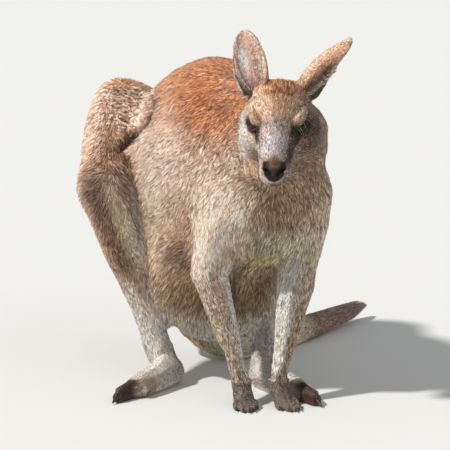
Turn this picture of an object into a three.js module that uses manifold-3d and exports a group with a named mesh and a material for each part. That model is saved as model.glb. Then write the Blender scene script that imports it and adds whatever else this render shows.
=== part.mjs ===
// A life-size eastern grey kangaroo, a doe with a full pouch, standing on all fours and on her tail.
// Millimetres, +Z up. The animal faces -Y and its left side is +X. The head is turned to its right.
// The flesh is one smooth field of tapered, oval limbs, meshed and then parted by thin cuts.
import * as THREE from "three";
import { mergeVertices } from "three/addons/utils/BufferGeometryUtils.js";
import Module from "manifold-3d";

const wasm = await Module();
wasm.setup();

// ---------------------------------------------------------------- driving dimensions
const GAP = 0.3; // clearance left by every parting cut
const MIDPLANE = 20; // x of the trunk's own plane of symmetry
const HEAD_YAW = THREE.MathUtils.degToRad(30); // turn of the head to the animal's right
const HEAD_PITCH = THREE.MathUtils.degToRad(33); // muzzle below the horizontal
const EYE_LINE = new THREE.Vector3(-3, -82, 559); // a point of the skull between the two eyes
const EYE_RADIUS = 14.5;
const EYE_SIDE = 39; // eyeball centre to the middle of the head
const EYE_LIFT = 4; // eyeball centre above the eye line
const FOOT_LENGTH = 226; // heel to the tip of the fourth toe
const HAND_LENGTH = 82; // wrist to the tip of the middle finger
const CLAW = { big: 30, side: 19, small: 13, finger: 15 };
const TRIANGLES = { body: 1370, head: 570, foot: 156, hand: 186 }; // facets left in each block

const JOINTS = {
  right: {
    side: -1,
    shoulder: [-48, 62, 400],
    elbow: [-72, 88, 264],
    wrist: [-29, 26, 46],
    handYaw: 12,
    hip: [-62, 512, 500],
    knee: [-178, 372, 386],
    ankle: [-99, 271, 62],
    heel: [-68, 261],
    footYaw: 55,
  },
  left: {
    side: 1,
    shoulder: [110, 25, 398],
    elbow: [88, 24, 240],
    wrist: [37, -2, 46],
    handYaw: -4,
    hip: [106, 505, 492],
    knee: [150, 318, 356],
    ankle: [76, 156, 62],
    heel: [69, 168],
    footYaw: -8,
  },
};

// ---------------------------------------------------------------- vectors and chains
const vec = (p) => (p.isVector3 ? p.clone() : new THREE.Vector3(...p));
const between = (a, b, t) => vec(a).lerp(vec(b), t);
const box3 = (low, high) => new THREE.Box3(vec(low), vec(high));

// A chain is a run of stations {p, w, h}: a centre, a half width and a half depth.
// `front` says which way the depth points. The chain is drawn as a smooth curve.
function chain(front, stations, steps = 6) {
  const curve = new THREE.CatmullRomCurve3(
    stations.map((s) => vec(s.p)),
    false,
    "centripetal",
  );
  const count = (stations.length - 1) * steps;
  const smooth = (key, u) => {
    const i = Math.min(Math.floor(u), stations.length - 2);
    const at = (j) => stations[THREE.MathUtils.clamp(j, 0, stations.length - 1)][key];
    const [a, b, c, d] = [at(i - 1), at(i), at(i + 1), at(i + 2)];
    const t = u - i;
    const bend = 2 * a - 5 * b + 4 * c - d + t * (3 * b - a - 3 * c + d);
    return b + 0.5 * t * (c - a + t * bend);
  };
  const points = [];
  for (let i = 0; i <= count; i++) {
    const u = i / count;
    const s = u * (stations.length - 1);
    const tangent = curve.getTangent(u);
    const depth = vec(front).addScaledVector(tangent, -vec(front).dot(tangent)).normalize();
    const across = new THREE.Vector3().crossVectors(depth, tangent).normalize();
    const [w, h] = [smooth("w", s), smooth("h", s)];
    points.push({ p: curve.getPoint(u), w, h, tangent, depth, across });
  }
  return points;
}

const blob = (centre, radii, turn = new THREE.Quaternion()) => ({
  centre: vec(centre),
  radii,
  inverse: turn.clone().invert(),
});

// ---------------------------------------------------------------- signed distance field
function blobDistance(shape) {
  const q = new THREE.Vector3();
  const [a, b, c] = shape.radii;
  return (x, y, z) => {
    q.set(x, y, z).sub(shape.centre).applyQuaternion(shape.inverse);
    const k0 = Math.hypot(q.x / a, q.y / b, q.z / c);
    const k1 = Math.hypot(q.x / a ** 2, q.y / b ** 2, q.z / c ** 2);
    return k1 < 1e-6 ? -Math.min(a, b, c) : (k0 * (k0 - 1)) / k1;
  };
}

function chainDistance(points) {
  const links = points.slice(1).map((end, i) => {
    const start = points[i];
    const along = end.p.clone().sub(start.p);
    return { start, end, along, size: along.lengthSq() };
  });
  return (x, y, z) => {
    let best = Infinity;
    for (const { start, end, along, size } of links) {
      const dx = x - start.p.x;
      const dy = y - start.p.y;
      const dz = z - start.p.z;
      const t = Math.min(1, Math.max(0, (dx * along.x + dy * along.y + dz * along.z) / size));
      const qx = dx - t * along.x;
      const qy = dy - t * along.y;
      const qz = dz - t * along.z;
      const w = start.w + t * (end.w - start.w);
      const h = start.h + t * (end.h - start.h);
      const c = (w + h) / 2;
      const a = qx * start.across.x + qy * start.across.y + qz * start.across.z;
      const b = qx * start.depth.x + qy * start.depth.y + qz * start.depth.z;
      const e = qx * start.tangent.x + qy * start.tangent.y + qz * start.tangent.z;
      const k0 = Math.sqrt((a / w) ** 2 + (b / h) ** 2 + (e / c) ** 2);
      const k1 = Math.sqrt((a / w ** 2) ** 2 + (b / h ** 2) ** 2 + (e / c ** 2) ** 2);
      const d = k1 < 1e-6 ? -Math.min(w, h) : (k0 * (k0 - 1)) / k1;
      if (d < best) best = d;
    }
    return best;
  };
}

function boundsOf(shape) {
  const box = new THREE.Box3();
  if (shape.centre) return box.expandByPoint(shape.centre).expandByScalar(Math.max(...shape.radii));
  for (const { p, w, h } of shape) {
    const reach = new THREE.Vector3().setScalar(Math.max(w, h));
    box.expandByPoint(p.clone().add(reach)).expandByPoint(p.clone().sub(reach));
  }
  return box;
}

// The field sampled on a grid over a box. Each shape touches only the samples near it.
function sampleField(flesh, box, step) {
  const size = box.getSize(new THREE.Vector3());
  const n = size.toArray().map((s) => Math.ceil(s / step) + 1);
  const origin = box.min.toArray();
  const values = new Float32Array(n[0] * n[1] * n[2]).fill(1e3);
  for (const { shape, soft, carve } of flesh) {
    const distance = shape.centre ? blobDistance(shape) : chainDistance(shape);
    const near = boundsOf(shape).expandByScalar(soft + 3 * step);
    const low = near.min.toArray().map((v, a) => Math.max(1, Math.floor((v - origin[a]) / step)));
    const high = near.max.toArray().map((v, a) => Math.min(n[a] - 2, Math.ceil((v - origin[a]) / step)));
    for (let k = low[2]; k <= high[2]; k++)
      for (let j = low[1]; j <= high[1]; j++)
        for (let i = low[0]; i <= high[0]; i++) {
          const at = (k * n[1] + j) * n[0] + i;
          const d = distance(origin[0] + i * step, origin[1] + j * step, origin[2] + k * step);
          const [a, b] = carve ? [-values[at], d] : [values[at], d];
          const t = Math.min(1, Math.max(0, 0.5 + (0.5 * (b - a)) / soft));
          const joined = b + (a - b) * t - soft * t * (1 - t);
          values[at] = carve ? -joined : joined;
        }
  }
  return { values, n, origin, step };
}

// ---------------------------------------------------------------- field to triangles
// Each grid cube is cut into six tetrahedra, so the surface is always one closed skin.
const CORNER = [0, 1, 2, 3, 4, 5, 6, 7].map((c) => [c & 1, (c >> 1) & 1, (c >> 2) & 1]);
const TETRAHEDRA = [
  [0, 1, 3, 7],
  [0, 3, 2, 7],
  [0, 2, 6, 7],
  [0, 6, 4, 7],
  [0, 4, 5, 7],
  [0, 5, 1, 7],
];

function polygonise({ values, n, origin, step }) {
  const points = [];
  const faces = [];
  const seen = new Map();
  const index = (i, j, k) => (k * n[1] + j) * n[0] + i;
  const place = (id) => [id % n[0], Math.floor(id / n[0]) % n[1], Math.floor(id / (n[0] * n[1]))];
  const crossing = (a, b) => {
    const [low, high] = a < b ? [a, b] : [b, a];
    const key = low * values.length + high;
    if (!seen.has(key)) {
      const share = values[low] / (values[low] - values[high]);
      const t = Math.min(0.96, Math.max(0.04, share));
      const p = place(low);
      const q = place(high);
      seen.set(key, points.length / 3);
      points.push(...p.map((v, axis) => origin[axis] + step * (v + t * (q[axis] - v))));
    }
    return seen.get(key);
  };
  for (let k = 0; k < n[2] - 1; k++)
    for (let j = 0; j < n[1] - 1; j++)
      for (let i = 0; i < n[0] - 1; i++) {
        const ids = CORNER.map(([a, b, c]) => index(i + a, j + b, k + c));
        const inside = ids.filter((id) => values[id] < 0).length;
        if (inside === 0 || inside === 8) continue;
        for (const tetra of TETRAHEDRA) cutTetrahedron(tetra.map((c) => ids[c]), values, crossing, faces);
      }
  return { points, faces };
}

function cutTetrahedron(ids, values, crossing, faces) {
  const within = [0, 1, 2, 3].filter((c) => values[ids[c]] < 0);
  if (within.length === 0 || within.length === 4) return;
  const outside = [0, 1, 2, 3].filter((c) => !within.includes(c));
  const order = [...within, ...outside];
  let swaps = 0;
  for (let a = 0; a < 4; a++) for (let b = a + 1; b < 4; b++) if (order[a] > order[b]) swaps++;
  const [a, b, c, d] = order.map((o) => ids[o]);
  const cuts = {
    1: () => [crossing(a, b), crossing(a, c), crossing(a, d)],
    2: () => [crossing(a, c), crossing(a, d), crossing(b, d), crossing(b, c)],
    3: () => [crossing(a, d), crossing(b, d), crossing(c, d)],
  };
  const ring = cuts[within.length]();
  if (swaps % 2) ring.reverse();
  for (let e = 2; e < ring.length; e++) faces.push(ring[0], ring[e - 1], ring[e]);
}

// ---------------------------------------------------------------- fewer triangles
// Edges are collapsed in the order of the error they make, measured by plane quadrics.
function simplify({ points, faces }, target) {
  const count = points.length / 3;
  const P = Float64Array.from(points);
  const F = Int32Array.from(faces);
  const alive = new Uint8Array(F.length / 3).fill(1);
  const version = new Int32Array(count);
  const around = Array.from({ length: count }, () => new Set());
  const Q = new Float64Array(count * 10);
  for (let f = 0; f < alive.length; f++) {
    const [a, b, c] = [F[3 * f], F[3 * f + 1], F[3 * f + 2]];
    const plane = planeOf(P, a, b, c);
    for (const v of [a, b, c]) {
      around[v].add(f);
      addPlane(Q, v, plane);
    }
  }
  const heap = new Heap();
  const offer = (a, b) => heap.push({ ...bestPoint(P, Q, a, b), a, b, va: version[a], vb: version[b] });
  for (let f = 0; f < alive.length; f++)
    for (let e = 0; e < 3; e++) {
      const a = F[3 * f + e];
      const b = F[3 * f + ((e + 1) % 3)];
      if (a < b) offer(a, b);
    }
  const ringOf = (v) => {
    const ring = new Set();
    for (const f of around[v]) for (let e = 0; e < 3; e++) ring.add(F[3 * f + e]);
    ring.delete(v);
    return ring;
  };
  let left = alive.length;
  while (left > target && heap.size) {
    const { a, b, va, vb, spot } = heap.pop();
    if (va !== version[a] || vb !== version[b]) continue;
    const ring = ringOf(a);
    const other = ringOf(b);
    const shared = [...ring].filter((v) => other.has(v));
    if (shared.length !== 2 || turnsOver(P, F, around, a, b, spot)) continue;
    for (const f of [...around[b]]) {
      const corners = [F[3 * f], F[3 * f + 1], F[3 * f + 2]];
      if (corners.includes(a)) {
        alive[f] = 0;
        left--;
        for (const v of corners) around[v].delete(f);
      } else {
        F[3 * f + corners.indexOf(b)] = a;
        around[a].add(f);
      }
    }
    around[b].clear();
    version[b] = -1;
    version[a]++;
    for (let i = 0; i < 10; i++) Q[10 * a + i] += Q[10 * b + i];
    P.set(spot, 3 * a);
    for (const v of ringOf(a)) offer(a, v);
  }
  return { points: P, faces: F.filter((_, i) => alive[Math.floor(i / 3)]) };
}

function planeOf(P, a, b, c) {
  const [p, q, r] = [a, b, c].map((v) => new THREE.Vector3().fromArray(P, 3 * v));
  const normal = q.clone().sub(p).cross(r.sub(p));
  const area = normal.length();
  normal.divideScalar(area || 1);
  return [normal.x, normal.y, normal.z, -normal.dot(p), area];
}

function addPlane(Q, v, [a, b, c, d, area]) {
  const parts = [a * a, a * b, a * c, a * d, b * b, b * c, b * d, c * c, c * d, d * d];
  parts.forEach((value, i) => (Q[10 * v + i] += area * value));
}

function bestPoint(P, Q, a, b) {
  const q = Array.from({ length: 10 }, (_, i) => Q[10 * a + i] + Q[10 * b + i]);
  const middle = [0, 1, 2].map((i) => (P[3 * a + i] + P[3 * b + i]) / 2);
  const span = Math.hypot(...[0, 1, 2].map((i) => P[3 * a + i] - P[3 * b + i]));
  const matrix = new THREE.Matrix3(q[0], q[1], q[2], q[1], q[4], q[5], q[2], q[5], q[7]);
  const scale = Math.cbrt(Math.abs(matrix.determinant())) / (q[0] + q[4] + q[7] + 1e-12);
  let spot = middle;
  if (scale > 0.02) {
    const solved = new THREE.Vector3(-q[3], -q[6], -q[8]).applyMatrix3(matrix.invert()).toArray();
    if (Math.hypot(...solved.map((v, i) => v - middle[i])) < span) spot = solved;
  }
  const [x, y, z] = spot;
  const squares = q[0] * x * x + q[4] * y * y + q[7] * z * z;
  const mixed = q[1] * x * y + q[2] * x * z + q[5] * y * z;
  const error = squares + 2 * (mixed + q[3] * x + q[6] * y + q[8] * z) + q[9];
  return { cost: Math.max(0, error) + 0.002 * span ** 3, spot };
}

function facing(corners) {
  const [p, q, r] = corners.map((c) => new THREE.Vector3(...c));
  return q.sub(p).cross(r.sub(p));
}

function turnsOver(P, F, around, a, b, spot) {
  for (const v of [a, b])
    for (const f of around[v]) {
      const corners = [F[3 * f], F[3 * f + 1], F[3 * f + 2]];
      if (corners.includes(a) && corners.includes(b)) continue;
      const before = corners.map((c) => [P[3 * c], P[3 * c + 1], P[3 * c + 2]]);
      const old = facing(before);
      const next = facing(before.map((p, i) => (corners[i] === v ? spot : p)));
      if (old.dot(next) <= 0.15 * old.length() * next.length()) return true;
    }
  return false;
}

class Heap {
  items = [];
  get size() {
    return this.items.length;
  }
  push(item) {
    const list = this.items;
    let i = list.push(item) - 1;
    while (i > 0) {
      const up = (i - 1) >> 1;
      if (list[up].cost <= list[i].cost) break;
      [list[up], list[i]] = [list[i], list[up]];
      i = up;
    }
  }
  pop() {
    const list = this.items;
    const top = list[0];
    const last = list.pop();
    if (list.length) {
      list[0] = last;
      let i = 0;
      for (;;) {
        let low = 2 * i + 1;
        if (low >= list.length) break;
        if (low + 1 < list.length && list[low + 1].cost < list[low].cost) low++;
        if (list[i].cost <= list[low].cost) break;
        [list[low], list[i]] = [list[i], list[low]];
        i = low;
      }
    }
    return top;
  }
}

// ---------------------------------------------------------------- solids
function solidOf({ points, faces }) {
  const vertProperties = Float32Array.from(points);
  return new wasm.Manifold(new wasm.Mesh({ numProp: 3, vertProperties, triVerts: Uint32Array.from(faces) }));
}

function solidOfGeometry(geometry) {
  const bare = geometry.clone();
  bare.deleteAttribute("normal");
  bare.deleteAttribute("uv");
  const merged = mergeVertices(bare, 1e-4);
  return solidOf({ points: merged.attributes.position.array, faces: merged.index.array });
}

// A closed tube over a chain: one ring of `sides` points at each station. `grow` widens
// the tube and moves both its ends outward.
function loft(points, sides, grow = 0) {
  const verts = [];
  const faces = [];
  const end = points.length - 1;
  const middle = ({ p, tangent }, i) =>
    p.clone().addScaledVector(tangent, i === 0 ? -grow : i === end ? grow : 0);
  points.forEach((station, n) => {
    const { w, h, across, depth } = station;
    for (let i = 0; i < sides; i++) {
      const angle = (2 * Math.PI * i) / sides;
      const spot = middle(station, n).addScaledVector(across, (w + grow) * Math.cos(angle));
      verts.push(...spot.addScaledVector(depth, (h + grow) * Math.sin(angle)).toArray());
    }
  });
  const last = end * sides;
  verts.push(...middle(points[0], 0).toArray(), ...middle(points[end], end).toArray());
  const caps = [points.length * sides, points.length * sides + 1];
  for (let i = 0; i < sides; i++) {
    const next = (i + 1) % sides;
    faces.push(caps[0], next, i, caps[1], last + i, last + next);
    for (let ring = 0; ring < last; ring += sides) {
      const quad = [ring + i, ring + next, ring + sides + next, ring + sides + i];
      faces.push(quad[0], quad[1], quad[2], quad[0], quad[2], quad[3]);
    }
  }
  return solidOf({ points: verts, faces });
}

// A box given by its corners in a turned frame.
function boxSolid(low, high, grow = 0, matrix = new THREE.Matrix4()) {
  const size = high.map((v, i) => v - low[i] + 2 * grow);
  const geometry = new THREE.BoxGeometry(...size);
  geometry.translate(...high.map((v, i) => (v + low[i]) / 2));
  return solidOfGeometry(geometry.applyMatrix4(matrix));
}

function ballSolid(centre, radii, grow = 0, detail = [16, 12]) {
  const geometry = new THREE.SphereGeometry(1, ...detail);
  geometry.scale(...radii.map((r) => r + grow));
  return solidOfGeometry(geometry.translate(...vec(centre).toArray()));
}

const largest = (solid) => solid.decompose().reduce((a, b) => (a.volume() > b.volume() ? a : b));

// ---------------------------------------------------------------- the head's own frame
// x to the animal's left, y along the muzzle, z up through the skull, from the eye line.
const forward = new THREE.Vector3(
  -Math.sin(HEAD_YAW) * Math.cos(HEAD_PITCH),
  -Math.cos(HEAD_YAW) * Math.cos(HEAD_PITCH),
  -Math.sin(HEAD_PITCH),
);
const leftward = new THREE.Vector3(Math.cos(HEAD_YAW), -Math.sin(HEAD_YAW), 0);
const upward = new THREE.Vector3().crossVectors(forward, leftward);
// The axes leftward, forward, upward make a left-handed set, so x is stored to the right.
const headFrame = new THREE.Matrix4()
  .makeBasis(leftward.clone().negate(), forward, upward)
  .setPosition(EYE_LINE);
const headTurn = new THREE.Quaternion().setFromRotationMatrix(headFrame);
const inHead = (left, ahead, up) => new THREE.Vector3(-left, ahead, up).applyMatrix4(headFrame);
const headBlob = (centre, radii) => blob(inHead(...centre), radii, headTurn);
const headChain = (stations) => chain(upward, stations.map((s) => ({ ...s, p: inHead(...s.p) })));

// ---------------------------------------------------------------- flesh
const add = (shape, soft = 20) => ({ shape, soft });
const carve = (shape, soft = 8) => ({ shape, soft, carve: true });
const UP = [0, 0, 1];

const trunk = chain(UP, [
  { p: [MIDPLANE, -8, 392], w: 60, h: 80 },
  { p: [MIDPLANE + 5, 45, 412], w: 108, h: 144 },
  { p: [MIDPLANE, 130, 440], w: 120, h: 200 },
  { p: [MIDPLANE, 230, 437], w: 134, h: 231 },
  { p: [MIDPLANE, 330, 414], w: 142, h: 231 },
  { p: [MIDPLANE, 420, 414], w: 132, h: 188 },
  { p: [MIDPLANE, 505, 444], w: 114, h: 136 },
  { p: [MIDPLANE + 4, 580, 462], w: 88, h: 98 },
  { p: [MIDPLANE + 6, 630, 460], w: 56, h: 72 },
]);

const neck = chain([0, -0.6, 1], [
  { p: [MIDPLANE + 15, 84, 476], w: 110, h: 112 },
  { p: [MIDPLANE + 28, 32, 512], w: 102, h: 94 },
  { p: [40, -8, 547], w: 85, h: 72 },
  { p: [14, -42, 562], w: 64, h: 62 },
]);

const pouch = blob([MIDPLANE - 7, 262, 217], [126, 152, 138]);

const tail = chain([0.3, 1, 0.2], [
  { p: [MIDPLANE + 6, 585, 468], w: 62, h: 78 },
  { p: [MIDPLANE + 8, 625, 400], w: 55, h: 63 },
  { p: [30, 632, 310], w: 50, h: 54 },
  { p: [38, 590, 205], w: 46, h: 48 },
  { p: [54, 516, 112], w: 43, h: 43 },
  { p: [86, 446, 54], w: 40, h: 40 },
  { p: [148, 414, 36], w: 37, h: 37 },
  { p: [240, 446, 31], w: 33, h: 32 },
  { p: [330, 512, 28], w: 29, h: 28 },
  { p: [420, 580, 27], w: 25, h: 25 },
  { p: [550, 674, 29], w: 19, h: 18 },
  { p: [594, 706, 30], w: 10, h: 10 },
]);

function hindLeg(j) {
  const ankle = vec(j.ankle);
  const thigh = chain([0, 0.5, 1], [
    { p: between(j.hip, j.knee, -0.12), w: 62, h: 96 },
    { p: j.hip, w: 74, h: 112 },
    { p: between(j.hip, j.knee, 0.5), w: 66, h: 96 },
    { p: j.knee, w: 54, h: 60 },
  ]);
  const shank = chain([0, 1, 0], [
    { p: between(j.knee, j.ankle, -0.06), w: 50, h: 54 },
    { p: between(j.knee, j.ankle, 0.2), w: 50, h: 56 },
    { p: between(j.knee, j.ankle, 0.42), w: 41, h: 48 },
    { p: between(j.knee, j.ankle, 0.68), w: 30, h: 34 },
    { p: between(j.knee, j.ankle, 0.9), w: 28, h: 31 },
    { p: ankle, w: 28, h: 31 },
  ]);
  return { thigh, shank };
}

// The sole's frame: x to the animal's left, y ahead along the foot, from the heel.
function soleFrame([x, y], yaw) {
  const angle = THREE.MathUtils.degToRad(yaw);
  const ahead = new THREE.Vector3(-Math.sin(angle), -Math.cos(angle), 0);
  const right = new THREE.Vector3(-Math.cos(angle), Math.sin(angle), 0);
  return new THREE.Matrix4().makeBasis(right, ahead, new THREE.Vector3(0, 0, 1)).setPosition(x, y, 0);
}

// A claw is a curved cone: it leaves the toe at `from` and its point lies over `to`, further on.
function clawShape(frame, name, owner, from, to, reach, w, h) {
  const ahead = new THREE.Vector3(0, 1, 0).transformDirection(frame);
  const at = (t) => between(from, to, t * t).addScaledVector(ahead, t * reach - 5 * (1 - t));
  const stations = [0, 0.55, 1].map((t) => {
    const share = Math.max(0.14, Math.sqrt(1 - 0.98 * t * t));
    return { p: at(t), w: w * share, h: h * share };
  });
  return { name, owner, shape: chain(UP, stations, 1) };
}

function footShapes(j) {
  const frame = soleFrame(j.heel, j.footYaw);
  const claw = (...rest) => clawShape(frame, ...rest);
  const L = FOOT_LENGTH;
  const at = (out, ahead, up) => new THREE.Vector3(-out * j.side, ahead * L, up).applyMatrix4(frame);
  const body = chain(UP, [
    { p: at(0, 0.05, 24), w: 21, h: 27 },
    { p: at(0, 0.16, 30), w: 28, h: 34 },
    { p: at(0, 0.32, 25), w: 29, h: 28 },
    { p: at(0, 0.48, 22), w: 30, h: 25 },
    { p: at(1, 0.62, 18), w: 27, h: 22 },
    { p: at(2, 0.7, 15), w: 19, h: 19 },
  ]);
  // Each toe owns a lane of the sole: from one side to the other, and ahead of a start line.
  const toe = (name, lane, stations) => ({
    name,
    shape: chain(UP, stations.map(([out, ahead, up, w, h]) => ({ p: at(out, ahead, up), w, h })), 4),
    region: (grow) => {
      const edges = [-lane[0] * j.side, -lane[1] * j.side].sort((a, b) => a - b);
      return boxSolid([edges[0], lane[2] * L, -20], [edges[1], 1.3 * L, 90], grow, frame);
    },
  });
  const toes = [
    toe("toe_fourth", [-11, 18.5, 0.66], [
      [4, 0.58, 16, 15, 18],
      [5, 0.72, 15, 15, 18],
      [5, 0.84, 13, 14, 16],
      [4, 0.92, 10, 11, 13],
    ]),
    toe("toe_fifth", [18.5, 60, 0.58], [
      [20, 0.5, 14, 11, 13],
      [27, 0.62, 11, 11, 13],
      [31, 0.74, 8, 8, 10],
    ]),
    toe("toe_joined", [-60, -11, 0.52], [
      [-17, 0.46, 18, 9, 10],
      [-23, 0.58, 17, 10, 11],
      [-24, 0.67, 14, 8, 9],
    ]),
  ];
  const claws = [
    claw("claw_fourth", "toe_fourth", at(4, 0.9, 14), at(2, 0.9, 3), CLAW.big, 8, 8.5),
    claw("claw_fifth", "toe_fifth", at(31, 0.73, 10), at(34, 0.73, 2.5), CLAW.side, 5, 5.5),
    claw("claw_second", "toe_joined", at(-28.5, 0.65, 15), at(-30, 0.65, 7), CLAW.small, 3.4, 4),
    claw("claw_third", "toe_joined", at(-20, 0.66, 15), at(-19, 0.66, 7), CLAW.small, 3.4, 4),
  ];
  return { frame, body, toes, claws };
}

function foreLeg(j) {
  const upper = chain([0, 1, 0], [
    { p: between(j.shoulder, j.elbow, -0.1), w: 46, h: 62 },
    { p: between(j.shoulder, j.elbow, 0.25), w: 46, h: 62 },
    { p: between(j.shoulder, j.elbow, 0.7), w: 38, h: 46 },
    { p: j.elbow, w: 34, h: 40 },
  ]);
  const lower = chain([0, 1, 0], [
    { p: j.elbow, w: 33, h: 39 },
    { p: between(j.elbow, j.wrist, 0.25), w: 30, h: 32 },
    { p: between(j.elbow, j.wrist, 0.6), w: 22, h: 23 },
    { p: between(j.elbow, j.wrist, 0.85), w: 17, h: 18 },
    { p: j.wrist, w: 17, h: 18 },
  ]);
  return { upper, lower };
}

function handShapes(j) {
  const frame = soleFrame([j.wrist[0], j.wrist[1]], j.handYaw);
  const claw = (...rest) => clawShape(frame, ...rest);
  const at = (out, ahead, up) => new THREE.Vector3(-out * j.side, ahead, up).applyMatrix4(frame);
  const palm = chain([0, 0.4, 1], [
    { p: at(0, 0, 50), w: 17, h: 17 },
    { p: at(0, 6, 33), w: 18, h: 18 },
    { p: at(0, 18, 17), w: 20, h: 17 },
    { p: at(0, 32, 10), w: 19, h: 12 },
  ]);
  const fingers = [-1.9, -1, 0, 1, 1.9].map((rank, i) => {
    const reach = HAND_LENGTH * [0.7, 0.92, 1, 0.94, 0.74][i] - CLAW.finger;
    const tip = rank * 11;
    const name = "claw_finger_" + (i + 1);
    return {
      shape: chain(UP, [
        { p: at(rank * 7.4, 24, 11), w: 6.2, h: 9 },
        { p: at((rank * 7.4 + tip) / 2 + rank, (24 + reach) / 2, 9), w: 5.4, h: 9 },
        { p: at(tip, reach, 5), w: 4.6, h: 6.5 },
      ], 3),
      claw: claw(name, "hand", at(tip, reach, 7), at(tip * 1.1, reach, 2), CLAW.finger, 2.8, 3.6),
    };
  });
  return { palm, fingers };
}

const headFlesh = [
  add(headBlob([0, -48, 8], [61, 60, 54]), 14),
  add(headBlob([0, -10, -2], [53, 54, 42]), 16),
  add(headChain([
    { p: [0, 0, -22], w: 44, h: 44 },
    { p: [0, 38, -20], w: 37, h: 38 },
    { p: [0, 76, -23], w: 32, h: 31 },
    { p: [0, 104, -26], w: 29, h: 26 },
    { p: [0, 112, -28], w: 23, h: 19 },
  ]), 14),
  add(headChain([
    { p: [0, -22, -54], w: 34, h: 28 },
    { p: [0, 40, -50], w: 25, h: 18 },
    { p: [0, 86, -47], w: 19, h: 13 },
    { p: [0, 98, -46], w: 13, h: 9 },
  ]), 12),
  ...[-1, 1].flatMap((s) => [
    add(headBlob([36 * s, -20, -36], [33, 50, 38]), 14),
    add(headBlob([34 * s, -2, 18], [20, 24, 13]), 8),
    carve(headBlob([(EYE_SIDE + 15) * s, 10, EYE_LIFT], [13, 15, 11]), 5),
  ]),
  add(headBlob([0, 108, -14], [17, 15, 13]), 6),
];

const legs = Object.fromEntries(
  Object.entries(JOINTS).map(([side, j]) => [
    side,
    { j, ...hindLeg(j), foot: footShapes(j), ...foreLeg(j), hand: handShapes(j) },
  ]),
);

const bodyFlesh = [
  add(trunk, 1),
  add(pouch, 60),
  add(neck, 40),
  add(tail, 26),
  ...Object.values(legs).flatMap(({ thigh, shank, upper, lower }) => [
    add(thigh, 16),
    add(shank, 18),
    add(upper, 26),
    add(lower, 12),
  ]),
  ...headFlesh,
];
const footFlesh = ({ shank, foot }) => [
  add(shank, 1),
  add(foot.body, 12),
  ...foot.toes.map((toe) => add(toe.shape, 4)),
];
const handFlesh = ({ lower, hand }) => [
  add(lower, 1),
  add(hand.palm, 8),
  ...hand.fingers.map((finger) => add(finger.shape, 2)),
];

// ---------------------------------------------------------------- ears
// An ear is a leaf rolled into a cup. Each row: share of the length, half width,
// half of the wrap in degrees, and thickness.
const EAR_PROFILE = [
  [0, 23, 128, 14],
  [0.12, 28, 114, 9],
  [0.28, 32, 92, 6],
  [0.45, 32, 74, 5],
  [0.62, 30, 60, 4.4],
  [0.77, 26, 52, 4],
  [0.89, 19, 47, 3.6],
  [0.97, 10.5, 42, 3],
  [1, 4.5, 40, 2.4],
];
const EARS = {
  right: { base: [-28, -40, 619], tip: [-27, 22, 733], opening: [-0.5, -0.87, 0], bow: 6 },
  left: { base: [50, -70, 616], tip: [144, -90, 721], opening: [0.78, 0.1, -0.5], bow: 17 },
};

function earSolid({ base, tip, opening, bow }, grow) {
  const axis = vec(tip).sub(vec(base));
  const length = axis.length();
  axis.normalize();
  const open = vec(opening).addScaledVector(axis, -vec(opening).dot(axis)).normalize();
  const side = new THREE.Vector3().crossVectors(axis, open);
  const arcs = 6;
  const verts = [];
  EAR_PROFILE.forEach(([t, width, wrap, thickness], row) => {
    const half = THREE.MathUtils.degToRad(wrap);
    const radius = wrap > 90 ? width : width / Math.sin(half);
    const reach = length * t + (row === 0 ? -grow : 0) + (t === 1 ? grow : 0);
    const back = 19 * (1 - t) ** 2 + bow * Math.sin(Math.PI * t);
    const middle = vec(base).addScaledVector(axis, reach).addScaledVector(open, radius - back);
    const spread = half + grow / radius;
    for (const [r, way] of [[radius + grow, 1], [radius - thickness - grow, -1]])
      for (let i = 0; i <= arcs; i++) {
        const angle = way * spread * ((2 * i) / arcs - 1);
        const spot = middle.clone().addScaledVector(open, -r * Math.cos(angle));
        verts.push(...spot.addScaledVector(side, r * Math.sin(angle)).toArray());
      }
  });
  const ring = 2 * arcs + 2;
  const last = (EAR_PROFILE.length - 1) * ring;
  const faces = [];
  for (let i = 0; i < ring; i++) {
    const next = (i + 1) % ring;
    for (let r = 0; r < last; r += ring)
      faces.push(r + i, r + next, r + ring + next, r + i, r + ring + next, r + ring + i);
  }
  for (let i = 0; i < arcs; i++) {
    const [a, b, c, d] = [i, i + 1, ring - 2 - i, ring - 1 - i];
    faces.push(a, c, b, a, d, c);
    faces.push(last + a, last + b, last + c, last + a, last + c, last + d);
  }
  const solid = solidOf({ points: verts, faces });
  return solid.volume() > 0 ? solid : solidOf({ points: verts, faces: faces.reverse() });
}

// ---------------------------------------------------------------- meshing in blocks
const FLOOR = boxSolid([-900, -900, -200], [900, 1200, 0]);

function mesh(shapes, box, step, triangles) {
  return solidOf(simplify(polygonise(sampleField(shapes, box, step)), triangles)).subtract(FLOOR);
}

function around(shapes, reach) {
  const box = new THREE.Box3();
  for (const { shape, carve } of shapes) if (!carve) box.union(boundsOf(shape));
  return box.expandByScalar(reach);
}

const nodes = [];
const node = (name, solid, finish) => nodes.push({ name, solid: largest(solid), finish });

const HEAD_BOX = [[-76, -64, -92], [76, 190, 150]];
const headRegion = (grow) => boxSolid(...HEAD_BOX, grow, headFrame);
const ANKLE_HEIGHT = 84;
const WRIST_HEIGHT = 52;

let body = mesh(bodyFlesh, around(bodyFlesh, 40), 10, TRIANGLES.body).subtract(headRegion(GAP));

// Takes the part of the body inside a region and leaves a clear cut behind.
function take(name, region, finish) {
  node(name, body.intersect(region(0)), finish);
  body = body.subtract(region(GAP));
}

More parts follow.
